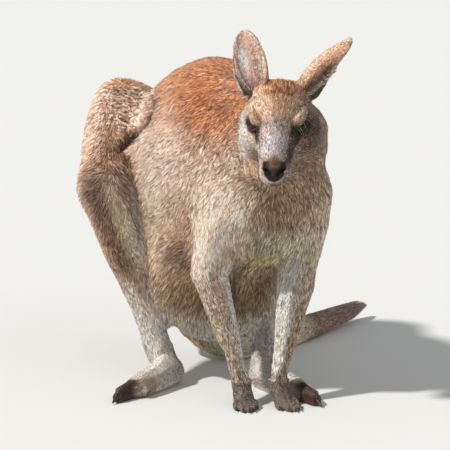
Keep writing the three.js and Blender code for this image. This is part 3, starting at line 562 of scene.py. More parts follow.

# %% [markdown]
# ## Markings
# Her back and crown are rufous, her flanks sandy, her neck and chest a grizzled fawn, the insides
# of the limbs ash-white, and the hands, toes and tail end dark. The skin and every tuft read the
# same colours, worked out once for each point of the skin from a small palette.
# Light and shade are partly painted in: paler on her lit right side, darker on her left, underneath and in
# folds.

# %% Palette and the plain colour of each solid
def tint(code):
    """A colour written as six hexadecimal digits, in the linear light that shaders use."""
    c = np.array([int(code[i : i + 2], 16) for i in (0, 2, 4)]) / 255
    return np.where(c <= 0.04045, c / 12.92, ((c + 0.055) / 1.055) ** 2.4)


RUST = tint("b06a3e")
GINGER = tint("c4865a")
SAND = tint("e8c6b4")
BUFF = tint("cda486")
FAWN = tint("b1967a")
GRIZZLE = tint("937a64")
CREAM = tint("dccba9")
ASH = tint("d8cec2")
MAUVE = tint("bcafb3")
BLUSH = tint("e0c8be")
UMBER = tint("674c3c")
SOOT = tint("332a28")
TIP = tint("f1dac8")
MARKING = {
    "head": GRIZZLE * 0.3 + BUFF * 0.7,
    "ear": GINGER * 0.6 + FAWN * 0.4,
    "neck": FAWN * 1.15,
    "chest": FAWN * 0.6 + BUFF * 0.4,
    "abdomen": SAND * 0.8 + BUFF * 0.2,
    "rump": BUFF * 0.55 + GINGER * 0.45,
    # the pouch is made darker than its fur: painted shade under her belly
    "pouch": FAWN * 0.5 + BUFF * 0.1,
    "thigh": BUFF * 0.40 + GINGER * 0.40,
    "shank": BUFF * 0.75 + ASH * 0.15,
    "hind_foot": BUFF * 0.5 + ASH * 0.5,
    "toe_joined": ASH * 0.35 + BUFF * 0.25,
    "toe": SOOT * 0.6 + UMBER * 0.5,
    # partly sandy fur, partly painted sunlight: the upper arms, and her right forearm more than her left, are
    # pale
    "upper_arm": BUFF * 0.3 + SAND * 0.8,
    "forearm_right": FAWN * 0.45 + BUFF * 0.28 + ASH * 0.24,
    "forearm": FAWN * 0.6 + BUFF * 0.25,
    "hand": UMBER * 0.2 + GRIZZLE * 0.4 + MAUVE * 0.15,
    "tail_base": GRIZZLE * 0.3 + BUFF * 0.7,
    "tail_mid": CREAM * 1.1 + BUFF * 0.7,
    "tail_tip": UMBER * 1.9 + MAUVE * 0.22,
}
fade = skin_web.blur(by_solid({"toe": 0.25, "hand": 0.4, "head": 0.6, "ear": 0.3}, 1.0)[skin_near], 10)
colour = skin_web.blur(by_solid(MARKING, BUFF)[skin_near], 45, fade)


def paint(shade, amount):
    """Lays a shade over the colour so far; `amount` runs from 0 to 1 over the skin."""
    global colour
    colour = colour + (shade - colour) * np.clip(amount, 0, 1)[:, None]


def under(values, low, high):
    """1 below `low`, 0 above `high`: the other way about from soft()."""
    return 1 - soft(values, low, high)


def spot(centre, radius, blend=0.5):
    gap = np.linalg.norm(skin_points - centre, axis=1)
    return under(gap, radius * (1 - blend), radius * (1 + blend))


def band(rows, radius, blend=0.5):
    """A soft band along a line through places, written as in places()."""
    return under(off_line(skin_points, places(*rows)), radius * (1 - blend), radius * (1 + blend))


print("plain colour of", len(MARKING), "kinds of solid laid")


# %% Trunk: rufous saddle, sandy flank, pale underside
PARTS = ("head", "ear", "neck", "chest", "abdomen", "rump", "pouch", "thigh", "shank", "upper", "fore",
         "hand", "hind")
y, z = skin_points.T[1:]
near_names = np.array(FLESH)[skin_near]
part = {name: np.char.startswith(near_names, name) for name in PARTS}
torso = part["chest"] | part["abdomen"] | part["rump"] | part["pouch"] | part["neck"]
torso = skin_web.blur(torso.astype(float), 20)
right_side = soft(-normals[:, 0], -0.2, 0.5)
back = place("abdomen", z=1.0)[2]
wobble = waves(skin_points, 0.11, 3) + 0.6 * waves(skin_points, 0.045, 4)
withers = under(y, place("chest", y=0.75)[1], place("abdomen", y=0.95)[1])
flank = torso * right_side
paint(GINGER * 1.08, torso * soft(z + 0.02 * wobble, back - 0.16, back - 0.04) * 0.9)
paint(RUST, torso * withers * soft(z + 0.03 * wobble, back - 0.20, back - 0.07) * 0.95)
saddle = band([("chest", 0.10, 0.80, 0.77), ("chest", 0.18, 0.70, 0.83),
               ("neck", 0.016, 0.51, 0.53)], 0.05, 0.8)
paint(RUST * 0.62, torso * saddle * (0.6 + 0.3 * wobble))
paint(RUST * 0.55, torso * spot(place("chest", 0.18, 0.70, 0.84), 0.075, 0.8) * (0.8 + 0.2 * wobble))
paint(RUST * 0.9, torso * band([("chest", 0.12, 0.2, 0.82), ("chest", 0.22, 0.9, 0.86)], 0.06) * 0.7)
# the next two: sandy fur on her right side, which faces the lamp, made paler still with painted sunlight
paint(SAND * 1.05, flank * soft(y, -0.20, -0.05) * under(z, 0.50, 0.57) * soft(z, 0.34, 0.44) * 0.75)
paint(SAND, flank * spot(place("chest", 0.05, 0.35, 0.50), 0.10, 0.7) * 0.75)
paint(GINGER * 0.40 + BUFF * 0.45, flank * under(z, 0.32, 0.46) * soft(z, 0.24, 0.30) * 0.75)
# painted shade along the lower belly, tinted olive as by light bounced from below
paint(tint("c9a06c") * 0.42, torso * under(z, 0.22, 0.30) * soft(z, 0.14, 0.18) * 0.8)
paint(ASH * 1.5, torso * under(z, 0.12, 0.18) * 0.85)
# a pale oval on her right flank: sandy fur with painted sunlight
paint(CREAM * 0.75 + SAND * 0.65, torso * spot(place("abdomen", 0.27, 0.50, 0.39), 0.085, 0.7) * 0.8)
paint(CREAM, torso * soft(-normals[:, 2], 0.1, 0.7) * 0.35)  # all that faces down
# Both lines are cast points.
belly_line = [("abdomen", 0.295, 0.24, 0.274), ("abdomen", 0.33, 0.07, 0.257),
              ("abdomen", 0.29, -0.20, 0.247)]
thigh_line = [("thigh_right", 0.506, 0.12, 0.44), ("abdomen", 0.257, 0.567, 0.479),
              ("abdomen", 0.277, 0.435, 0.353)]
# painted shadow along the belly's lower edge
paint(UMBER * 0.6, torso * band(belly_line, 0.021) * 0.9)
# partly dark hairs, partly painted shadow between the haunch and the flank
paint(UMBER, band(thigh_line, 0.016, 0.8) * 0.6)
# the woolly patch: pale curls, partly lightened as painted highlight
paint(SAND * 1.15 + GINGER * 0.65, wool * 0.9)
# painted shade in the gaps between the curls
paint(UMBER * 0.35, curl * 0.75)
# painted shade deep in the crease before the thigh
paint(SOOT * 0.55, ridge_of(crease_gap, 0.013) * 1.15)
print("trunk's mean colour:", colour[torso > 0.5].mean(axis=0).round(3))

# %% Neck, chest and forelegs
face_on = soft(-normals[:, 1], 0.1, 0.9)
# partly grizzled fur, partly painted shade on the front of the neck and chest
paint(tint("8a7045"), (part["neck"] | part["chest"]) * face_on * 0.30)
# painted shade on the left side of her neck
paint(GRIZZLE * 0.62, part["neck"] * soft(normals[:, 0], -0.1, 0.6) * 0.55)
# the next two: partly pale fur, partly painted sunlight on the chest
paint(CREAM * 0.9, band([("chest", 0.30, 0.25, 0.30), ("chest", 0.62, 0.22, 0.28)], 0.05, 0.7) * 0.9)
paint(tint("dfc274"), band([("chest", 0.49, 0.46, 0.12), ("chest", 0.48, 0.45, 0.22)], 0.045, 0.7) * 0.8)
# painted sunlight: a pale band over her right shoulder and upper arm
shoulder = band([("chest", 0.12, 0.34, 0.44), ("upper_arm_right", 0.26, 0.31, 0.37),
                 ("upper_arm_right", 0.2, 0.36, 0.32)], 0.048, 0.7)
paint(SAND * 1.35 + GINGER * 0.8, shoulder * (0.4 + 0.6 * right_side))
for s, side in ((-1, "right"), (1, "left")):
    mine = np.char.endswith(near_names, side)
    outer = normals[:, 0] * s  # 1 on the outside of her limb, -1 on the inside
    fore = skin_web.blur((mine & (part["fore"] | part["upper"])).astype(float), 8)
    # the inner side of the forelegs: ash-white fur, made paler and bluer as painted skylight
    paint(ASH * 1.4, fore * soft(-outer, 0.0, 0.6) * under(z, 0.30, 0.38) * soft(z, 0.05, 0.09) * 0.85)
    # darker towards the ground: the paws' dark fur and painted shade
    paint(ASH * 0.15 + GRIZZLE * 0.20, (fore + part["hand"] * mine) * under(z, 0.02, 0.09) * 0.65)
    hind = skin_web.blur((mine & (part["shank"] | part["thigh"] | part["hind"])).astype(float), 8)
    # the inner side of the hind legs: ash-white fur, made paler and bluer as painted skylight
    paint(ASH * 1.15, hind * soft(-outer, 0.0, 0.6) * under(z, 0.36, 0.46) * 0.9)
    paint(ASH * 1.4, hind * under(z, 0.12, 0.24) * soft(z, 0.02, 0.05) * 0.75)
    knee_height = soft(z, 0.20, 0.30) * under(z, 0.42, 0.50)
    paint(tint("b98352") * 0.8, hind * soft(outer, -0.3, 0.3) * knee_height * 0.6)
    # painted highlight: a pale rim of light along the rear outer edge of the hind legs
    rear_rim_highlight = soft(outer, 0.35, 0.85) * soft(normals[:, 1], -0.4, 0.2)
    paint(SAND * 1.25, hind * rear_rim_highlight * soft(z, 0.22, 0.32) * 0.6)
haunch = (part["thigh"] | part["rump"]) * right_side * (1 - wool)
paint(SAND * 0.70 + GINGER * 0.45, haunch * soft(z, 0.44, 0.52) * 0.65)
knee_line = [("thigh_right", 0.45, 0.10, 0.55), ("thigh_right", 0.36, -0.05, 0.24),
             ("shank_right", 0.53, 0.27, 0.86)]
shin = [("shank_right", 0.20, 0.40, 1.05), ("shank_right", 0.36, 0.30, 0.82), ("shank_right", 0.5, 0.22, 0.6)]
stripe = [("thigh_right", 0.10, 0.12, 0.45), ("shank_right", 0.06, 0.45, 1.0),
          ("shank_right", 0.17, 0.36, 0.76), ("shank_right", 0.33, 0.28, 0.55)]
paint(UMBER * 0.95, band(knee_line, 0.020, 0.6) * 0.7)
paint(CREAM * 1.15, band(shin, 0.019, 0.6) * 0.95)
paint(UMBER * 0.95, band(stripe, 0.022, 0.6) * 0.8)
colour = skin_web.blur(colour, 4)
print("limbs' mean colour:", colour[part["fore"] | part["shank"]].mean(axis=0).round(3))

# %% Head: soft ovals and strokes
h = on_head(skin_points)
side, front, top = np.abs(h[:, 0]), h[:, 1], h[:, 2]
head = skin_web.blur(part["head"].astype(float), 8)
LEFT, RIGHT = 1, -1  # a mark on one side only; without a hand it is on both


def seen_from(hand):
    """Places on the head in millimetres, counted outward from the midline."""
    return np.stack([h[:, 0] * hand if hand else side, front, top], axis=1)


def patch(centre, radii, amount=1.0, blend=0.6, hand=0):
    """A soft oval on the head, in millimetres."""
    gap = np.sqrt((((seen_from(hand) - centre) / radii) ** 2).sum(axis=1))
    return under(gap, 1 - blend, 1 + blend) * amount * head


def stroke(path, size, shade, amount, hand=0):
    """A soft line through a few places on the head, in millimetres."""
    gap = off_line(seen_from(hand), [np.array(p, float) for p in path])
    paint(shade, under(gap, 0.45 * size, 1.45 * size) * head * amount)


mottle = waves(skin_points, 0.009, 7)
paint(GINGER * 0.78 + SAND * 0.38, head * soft(top - 0.25 * front, 16, 36) * 0.92)  # forehead
paint(RUST * 1.1, head * soft(top - 0.2 * front + 3 * mottle, 50, 64) * 0.85)  # crown
# partly pale fur, partly painted sunlight on her right cheek
paint(SAND * 1.20 + BLUSH * 0.15, patch((64, -8, -30), (24, 44, 36), 0.95, hand=RIGHT))  # cheeks
# the next two: painted shade on her left cheek and on her left side behind the eye
paint(UMBER * 0.55, patch((62, -8, -32), (34, 60, 56), 0.85, 0.9, hand=LEFT))
paint(UMBER, patch((56, -34, 30), (20, 16, 26), 0.5, hand=LEFT))
paint(MAUVE * 1.1, patch((0, 60, 1), (25, 46, 26), 0.97))  # top and sides of the muzzle
paint(MAUVE * 0.55 + GINGER * 0.08, patch((0, 25, 21), (24, 13, 13), 0.65 + 0.2 * mottle))
# partly pale fur, partly painted sunlight on the right side of the muzzle
paint(BLUSH * 1.05, patch((27, 66, -22), (11, 44, 15), 0.9, hand=RIGHT))
# the next two: painted shade on the left side of the muzzle, near black above and grey-brown below
paint(SOOT * 1.7 + MAUVE * 0.02, patch((26, 60, -9), (11, 48, 17), 0.95, hand=LEFT))
paint(GRIZZLE * 0.6, patch((36, 56, -30), (14, 44, 22), 0.6, hand=LEFT))
stroke([(33, 36, -5), (29, 58, -10), (27, 84, -12)], 3.6, SOOT * 1.8, 0.75, RIGHT)
paint(GRIZZLE * 0.75, patch((0, 106, 3), (15, 14, 9), 0.9))
# painted shade under the head, olive-tinted
paint(tint("6f5f3c"), patch((0, 60, -68), (34, 60, 16), 0.75))  # throat

# %% Head: round the eyes and on the brows
stroke([(33, 26, 0), (43, 18, 2), (52, 8, 1), (56, -3, 3)], 13.5, UMBER * 0.62, 0.92)
stroke([(32, 29, 2), (40, 20, 3), (50, 13, 3), (56, -2, 5)], 9.5, SOOT * 0.75, 0.97)
stroke([(34, 30, -4), (34, 38, -12)], 6.0, SOOT * 1.2, 0.9)
stroke([(44, 12, -13), (52, 2, -11)], 5.0, GRIZZLE * 0.5, 0.8, RIGHT)
stroke([(37, 18, 30), (46, 3, 33), (51, -12, 31)], 6.5, SAND * 0.95, 0.75, LEFT)
stroke([(36, 19, 28), (47, 5, 31)], 7.0, GINGER * 0.58 + SAND * 0.08, 0.4, RIGHT)
stroke([(56, -4, 8), (49, 11, 12), (40, 20, 15), (32, 26, 17)], 6.5, SOOT * 0.8, 0.92)
stroke([(44, 16, 8), (33, 27, 10)], 7.5, SOOT * 0.8, 0.95)
stroke([(30, 28, 17), (27, 32, 14), (26, 40, 7)], 6.5, SOOT * 1.1, 0.88, LEFT)
print("eye surrounds:", colour[from_eye < 0.03].mean(axis=0).round(3))

# %% Head: lips, nose and brow creases
paint(ASH * 1.5, patch((14, 120, -31), (16, 16, 9), 1.0, hand=RIGHT))  # upper lip
stroke([(22, 108, -20), (19, 118, -27), (10, 127, -33)], 4.5, ASH * 1.35, 0.95, RIGHT)
# painted shade on her left upper lip
paint(ASH * 0.30, patch((15, 118, -31), (16, 16, 10), 0.9, hand=LEFT))
# painted shade, olive-tinted, just above the middle of the mouth
paint(tint("5b4d36"), patch((0, 127, -34), (11, 12, 7), 0.85))
stroke([(27, 100, -26), (29, 92, -31)], 4.0, ASH * 1.3, 0.85, LEFT)
paint(BLUSH, patch((31, 88, -34), (8, 26, 10), 0.8, hand=RIGHT))
PAD = ([-26, -23.5, -18, -12, -6, -1, 2], [0, 9, 18, 23, 22, 13, 0])  # half width of the nose by height, mm
nose_pad = soft(np.interp(top, *PAD) - side, -1.2, 1.8) * (front > 92) * head
paint(SOOT * 0.55, nose_pad)
# painted shade: the nostril pits are near black
paint(SOOT * 0.08, nose_pad * patch((16, 116, -7), (7.5, 13, 8.5), 1.0, 0.35))  # nostril
paint(UMBER * 0.75 + GRIZZLE * 0.15, patch((0, 113, 4), (19, 14, 8), 0.95))
# painted shade along the pressed nostril line
stroke([(9, 127, -13), (12, 124, -9), (17, 118, -8), (19, 116, -13)], 3.4, SOOT * 0.12, 0.97)
# painted shade in the groove under the nose
stroke([(0, 130, -18), (0, 131, -27), (0, 127, -37)], 1.6, SOOT * 0.5, 0.9)
# painted shade along the pressed mouth line
stroke([(0, 127, -38), (12, 119, -39.5), (24, 92, -42), (31, 62, -45), (34, 44, -50)], 2.6, SOOT * 0.6, 0.9)
stroke([(56, -32, 26), (32, -24, 49), (0, -25, 57)], 2.6, UMBER, 0.35)
stroke([(56, -29, 21), (32, -18, 44), (0, -18, 52)], 3.2, SAND * 1.1, 0.35)
stroke([(34, -44, 56), (0, -44, 64)], 3.0, UMBER, 0.35)
lid_margin = under(lid_edge, 0, 4) * (lid_edge < 50)
paint(SOOT * 0.5, lid_margin)
bare = np.maximum(nose_pad * soft(-top, -1, 3), lid_margin)
print("bare points on the nose and lids:", int((bare > 0.4).sum()))

# %% Ears: mauve hollow with a pale sheen, dark rim, pale fringe, brown back with painted light and shade
low_turn = np.zeros(len(skin_points))  # positive on the side of each ear that hangs lower
streak = 0.5 + 0.5 * waves(skin_points, 0.012, 8)
t = ear_along
for name, mine in ear_part.items():
    axis, hollow, sideways = ear_way[name]
    low_turn = np.where(mine, -np.sign(sideways[2]) * ear_round, low_turn)
    mine = skin_web.blur(mine.astype(float), 3)
    cup, outer = ear_inner * mine, (1 - ear_inner) * mine
    lower = soft(low_turn, -0.1, 1.1)
    sheen = np.exp(-(((t - 0.56) / 0.21) ** 2) - (((ear_round + 0.42) / 0.32) ** 2))
    paint(MAUVE * 0.45 + SAND * 0.25 + GINGER * 0.50, cup * 0.95)
    paint(UMBER * 1.1, cup * ridge_of(ear_round - 0.35, 0.35) * under(t, 0.45, 0.9) * (0.35 + 0.5 * streak))
    paint(UMBER * 0.8, cup * under(t, 0.06, 0.34) * 0.75)
    paint(ASH * 1.45, cup * sheen)
    paint(UMBER * 0.9, cup * ridge_of(np.abs(ear_round) - 0.95, 0.12) * (0.45 + 0.4 * soft(t, 0.5, 0.9)))
    paint(GINGER * 0.78 + SAND * 0.48, outer * 0.95)
    # painted highlight on the upper side of the ear's back
    paint(SAND * 0.85, outer * ridge_of(low_turn + 0.45, 0.4) * soft(t, 0.3, 0.6) * 0.5)
    # the next two: painted shade on the lower side and at the base of the ear's back
    paint(UMBER * 0.32, outer * lower * under(t, 0.45, 0.85) * (0.8 + 0.2 * streak))
    paint(UMBER * 0.5, outer * under(t, 0.02, 0.25) * 0.6)
    paint(BLUSH * 1.1, mine * soft(t, 0.92, 1.0) * 0.9)
    paint(UMBER * 0.7, mine * ridge_of(t - 0.93, 0.03) * lower * 0.7)
    print(name, "lower side turned", np.sign(sideways[2]))
RIM_TURN, RIM_WIDTH = 1.22, 0.16  # where the rim lies round the ear's spine, in radians
ear_rim = ridge_of(np.abs(ear_round) - RIM_TURN, RIM_WIDTH) * (ear_part["ear_right"] | ear_part["ear_left"])
print("rim points:", int((ear_rim > 0.5).sum()))
print("colours from", colour.min(axis=0).round(3), "to", colour.max(axis=0).round(3))

# %% [markdown]
# ## Finishes for skin and hair
# Hair is never one flat colour: each hair is darker at its root, banded near its tip, and a little
# lighter or darker than the next. One small group gives that last change a fine grain for the skin
# and the coat alike, so that the skin never shows through as a different colour.

# %% Shader groups
def new_group(name, inputs, outputs):
    tree = bpy.data.node_groups.new(name, "ShaderNodeTree")
    for label, kind in inputs:
        tree.interface.new_socket(label, in_out="INPUT", socket_type="NodeSocket" + kind)
    for label, kind in outputs:
        tree.interface.new_socket(label, in_out="OUTPUT", socket_type="NodeSocket" + kind)
    return tree, tree.nodes.new("NodeGroupInput"), tree.nodes.new("NodeGroupOutput")


def add(tree, kind, inputs=(), **settings):
    """Adds a node; `inputs` maps sockets, by name or number, to values or other nodes' outputs."""
    node = tree.nodes.new("ShaderNode" + kind)
    for key, value in settings.items():
        setattr(node, key, value)
    for key, value in dict(inputs).items():
        if isinstance(value, bpy.types.NodeSocket):
            tree.links.new(value, node.inputs[key])
        else:
            node.inputs[key].default_value = value
    return node


def math_node(tree, operation, *values):
    return add(tree, "Math", dict(enumerate(values)), operation=operation).outputs[0]


grain, given, result = new_group(
    "hair_grain",
    [("Color", "Color"), ("Size", "Float"), ("Strength", "Float"), ("Shade", "Float")],
    [("Color", "Color"), ("Height", "Float")],
)
spot_map = add(grain, "TexCoord").outputs["Object"]
stretch = add(grain, "Mapping", {"Vector": spot_map, "Scale": (1, 0.7, 0.28)}).outputs[0]
fine = add(grain, "TexNoise", {"Vector": stretch, "Scale": given.outputs["Size"], "Detail": 2.0})
lumps = math_node(grain, "SUBTRACT", fine.outputs["Fac"], 0.5)
swing = math_node(grain, "MULTIPLY_ADD", lumps, given.outputs["Strength"], given.outputs["Shade"])
toned = add(grain, "VectorMath", {0: given.outputs["Color"]}, operation="SCALE")
grain.links.new(swing, toned.inputs["Scale"])
grain.links.new(toned.outputs[0], result.inputs["Color"])
grain.links.new(fine.outputs["Fac"], result.inputs["Height"])


def finish(name, roughness, **constants):
    """A new material, its node tree and its Principled shader, with its plain values set on it."""
    material = bpy.data.materials.new(name)
    material.use_nodes = True
    shader = material.node_tree.nodes["Principled BSDF"]
    shader.inputs["Roughness"].default_value = roughness
    for label, value in constants.items():
        shader.inputs[label.replace("_", " ")].default_value = value
    return material, material.node_tree, shader


def grained(tree, shader, size, strength, shade):
    """Colours a finish by its points' marking through the hair grain, and gives the grain's height."""
    marking = add(tree, "Attribute", attribute_name="Marking").outputs["Color"]
    values = {"Size": size, "Strength": strength, "Shade": shade, "Color": marking}
    node = add(tree, "Group", values, node_tree=grain)
    tree.links.new(node.outputs["Color"], shader.inputs["Base Color"])
    return node.outputs["Height"]


def raised(tree, shader, strength, distance, height):
    bump = add(tree, "Bump", {"Strength": strength, "Distance": distance, "Height": height})
    tree.links.new(bump.outputs[0], shader.inputs["Normal"])


skin_material, tree, shader = finish("short_fur_skin", 0.85, Specular_IOR_Level=0.2)
hair_height = grained(tree, shader, 800.0, 1.3, 0.85)
leather = add(tree, "Attribute", attribute_name="Bare").outputs["Fac"]
spots = add(tree, "TexCoord").outputs["Object"]
cells = add(tree, "TexVoronoi", {"Vector": spots, "Scale": 650.0}, feature="DISTANCE_TO_EDGE")
pebble = math_node(tree, "MULTIPLY", math_node(tree, "MINIMUM", cells.outputs["Distance"], 0.25), 3.0)
relief = add(tree, "Mix", {"Factor": leather, "A": hair_height, "B": pebble}).outputs["Result"]
raised(tree, shader, 0.6, 0.0010, relief)
tree.links.new(math_node(tree, "MULTIPLY_ADD", leather, -0.57, 0.85), shader.inputs["Roughness"])

# %% Where the coat is longer or stands up
outward = flow.copy()
for name, (axis, hollow, sideways) in ear_way.items():
    mine = ear_part[name]
    away = np.sign(ear_round)[:, None] * sideways * 0.9 + hollow * 0.15 + axis * 0.45
    outward[mine] = away[mine]
reach_up = np.where(ear_part["ear_right"], 0.46, 0.85)  # how far up each ear its fringe runs
fringed = np.where(ear_part["ear_right"], ear_round < 0, low_turn > 0)
fringe = ear_rim * np.where(fringed, 1 - soft(ear_along, reach_up - 0.15, reach_up), 0.22)
crown_tuft = head * soft(top, 46, 60) * under(front, -30, -5)
flow = unit(flow * (1 - fringe)[:, None] + outward * fringe[:, None] + CROWN * (0.5 * crown_tuft)[:, None])
length = length + 0.0065 * fringe + 0.008 * crown_tuft
stand = np.clip(fringe + 0.5 * crown_tuft, 0, 1)
coat_colour = colour + (TIP - colour) * (fringe * 0.85)[:, None]  # the fringe is paler than its skin
from_lid = np.array([EYES[1], EYES[-1]])[(h[:, 0] < 0).astype(int)]
beside_eye = under(from_eye, 0.017, 0.028)
flow = unit(flow + unit(skin_points - from_lid) * (1.4 * beside_eye)[:, None])
length = length * (1 - 0.62 * beside_eye)
nose_gap = soft(np.linalg.norm(on_head(skin_points) - [0, 116, -14], axis=1), 14, 50)
length = length * (1 - 0.45 * head * (1 - nose_gap))
print("fringe points:", int((fringe > 0.3).sum()))

# %% The skin piece
def mesh_piece(name, points, faces, material, normals=None, **layers):
    """A joined mesh with point layers: three columns make a colour, one column a number."""
    mesh = bpy.data.meshes.new(name)
    mesh.vertices.add(len(points))
    mesh.vertices.foreach_set("co", points.astype(np.float32).ravel())
    size = faces.shape[1]
    mesh.loops.add(faces.size)
    mesh.loops.foreach_set("vertex_index", faces.astype(np.int32).ravel())
    mesh.polygons.add(len(faces))
    mesh.polygons.foreach_set("loop_start", np.arange(0, faces.size, size, dtype=np.int32))
    mesh.polygons.foreach_set("use_smooth", np.ones(len(faces), bool))
    mesh.update(calc_edges=True)
    for label, values in layers.items():
        if values.ndim == 2:
            rgba = np.ones((len(points), 4), np.float32)
            rgba[:, :3] = values
            layer = mesh.attributes.new(label, "FLOAT_COLOR", "POINT")
            layer.data.foreach_set("color", rgba.ravel())
        else:
            layer = mesh.attributes.new(label, "FLOAT", "POINT")
            layer.data.foreach_set("value", values.astype(np.float32))
    if normals is not None:
        mesh.normals_split_custom_set_from_vertices(normals.tolist())
    mesh.materials.append(material)
    piece = link(bpy.data.objects.new(name, mesh))
    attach(piece, "root")
    return piece


skin_colour = np.clip(colour, 0.003, 0.9)
skin = mesh_piece("skin", skin_points, skin_faces, skin_material, Marking=skin_colour, Bare=bare)
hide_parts(*FLESH)
print("skin piece:", len(skin.data.polygons), "triangles")

# %% [markdown]
# ## Eyes
# Her eyes are dark wet balls, half hidden by the lids. A ball with a clear front that bulges a
# little more than the rest catches the lamp the way a real cornea does, so each eye is turned from
# one profile about the line of her gaze. Pupil, iris and rim are tones of one very dark brown.

# %% Eyeballs
def turned(profile, segments):
    """A closed form turned about its first axis, from (along, radius) steps that end on the axis."""
    angle = np.linspace(0, 2 * np.pi, segments, endpoint=False)
    circle = np.cos(angle), np.sin(angle)
    rings = [np.stack([np.full(segments, a), *(r * c for c in circle)], axis=1) for a, r in profile[1:-1]]
    points = np.vstack([[(profile[0][0], 0, 0)], *rings, [(profile[-1][0], 0, 0)]])
    first, last = np.arange(segments) + 1, len(points) - 1 - segments + np.arange(segments)
    faces = [np.stack([np.zeros(segments, int), np.roll(first, -1), first], axis=1),
             np.stack([np.full(segments, len(points) - 1), last, np.roll(last, -1)], axis=1)]
    for i in range(len(rings) - 1):
        a = first + i * segments
        b, a2 = a + segments, np.roll(a, -1)
        faces += [np.stack([a, a2, b], axis=1), np.stack([a2, a2 + segments, b], axis=1)]
    return points, np.vstack(faces)


CORNEA_BULGE, CORNEA_EDGE = 0.0012, 40  # metres, and degrees from the gaze
angles = np.radians(np.concatenate([np.arange(0, 60, 3), np.arange(60, 181, 8)]))
ball_r = EYE_RADIUS + CORNEA_BULGE * (1 - soft(np.degrees(angles), 8, CORNEA_EDGE))
profile = list(zip(ball_r * np.cos(angles), np.abs(ball_r * np.sin(angles))))
ball_points, ball_faces = turned(profile, 56)
eye_material, tree, shader = finish(
    "wet_eye", 0.25, Coat_Weight=0.35, Coat_Roughness=0.03, Specular_IOR_Level=0.12)
grained(tree, shader, 1500.0, 1.4, 1.0)
off_axis = np.degrees(np.arccos(np.clip(ball_points[:, 0] / np.linalg.norm(ball_points, axis=1), -1, 1)))
PUPIL = SOOT * 0.10
EYE_RINGS = [(UMBER * 0.45, 17, 21), (SOOT * 0.15, 33, 37), (UMBER * 0.4, 42, 50)]  # iris, rim, beyond it
tones = np.tile(PUPIL, (len(ball_points), 1))
for shade, starts, full in EYE_RINGS:
    tones = tones + (shade - tones) * soft(off_axis, starts, full)[:, None]
for s, side_name in ((-1, "right"), (1, "left")):
    gaze, fore, rise = eye_frames[s]
    points = EYES[s] + ball_points @ np.array([gaze, fore, rise * s])
    ball = mesh_piece("eyeball_" + side_name, points, ball_faces, eye_material, Marking=tones)
    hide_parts("eye_" + side_name)
    print(ball.name, len(ball.data.polygons), "triangles")

# %% [markdown]
# ## Claws
# The claws are dark horn, ridged along their length and scuffed pale where they scrape. The plain
# solids have the right size and place, so each set is melted into small squares and smoothed.

# %% Claws
claw_material, tree, shader = finish("claw_horn", 0.32, Coat_Weight=0.4, Coat_Roughness=0.15)
raised(tree, shader, 0.35, 0.0004, grained(tree, shader, 700.0, 0.9, 1.0))
CLAW_VOXEL = 0.0008
for limb in ("foot", "hand"):
    for side_name in ("left", "right"):
        nodes = [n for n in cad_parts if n.startswith("claw") and n.endswith(side_name)
                 and ("finger" in n) == (limb == "hand")]
        points, faces = melted(*joined(nodes)[:2], CLAW_VOXEL)
        points = Web(faces, len(points)).blur(points, 4, 0.6)
        scuff = soft(waves(points, 0.004, 41), 0.1, 0.9) * 0.5 + 0.5 * soft(-points[:, 2], -0.004, 0.0)
        tones = SOOT * 0.35 + (GRIZZLE * 0.5 - SOOT * 0.35) * (0.5 * scuff)[:, None]
        claws = mesh_piece(f"claws_{limb}_{side_name}", points, faces, claw_material, Marking=tones)
        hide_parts(*nodes)
        print(claws.name, len(claws.data.polygons), "squares from", len(nodes), "solids")

# %% [markdown]
# ## Lashes and whiskers
# Stiff single hairs stand clear of the coat: dark lashes over each eye, pale feelers on the brows
# and long ones on the muzzle. Each is a fine tapered tube that bends under its own weight.

# %% Lashes and whiskers
STATIONS = 7  # cross sections along one hair
THIRD_TURN = 2.0944


def strands(name, rows, material, tone, radius):
    """One mesh of tapered three-sided tubes; a row holds a root, a direction, a length and a sag."""
    points, faces, tones = [], [], []
    share = np.linspace(0, 1, STATIONS)[:, None]
    for root, way, reach, sag in rows:
        line = root + way * reach * share - np.array([0, 0, 1]) * sag * share**2
        a = unit(np.cross(way, [0.3, 0.2, 1.0]))
        b = np.cross(unit(way), a)
        first = 3 * len(points)
        for i, at in enumerate(line):
            r = radius * (1 - 0.9 * share[i, 0])
            turns = [k * THIRD_TURN for k in range(3)]
            points.append(np.array([at + (a * math.cos(turn) + b * math.sin(turn)) * r for turn in turns]))
        for i in range(len(line) - 1):
            for k in range(3):
                p, q = first + 3 * i + k, first + 3 * i + (k + 1) % 3
                faces += [(p, q, p + 3), (q, q + 3, p + 3)]
        end = first + 3 * (STATIONS - 1)
        faces += [(first + 2, first + 1, first), (end, end + 1, end + 2)]
        tones += [tone * (0.8 + 0.3 * t) for t in share for _ in range(3)]
    tones = np.clip(np.array(tones), 0, 0.9)
    piece = mesh_piece(name, np.vstack(points), np.array(faces), material, Marking=tones)
    print(name, len(rows), "hairs")


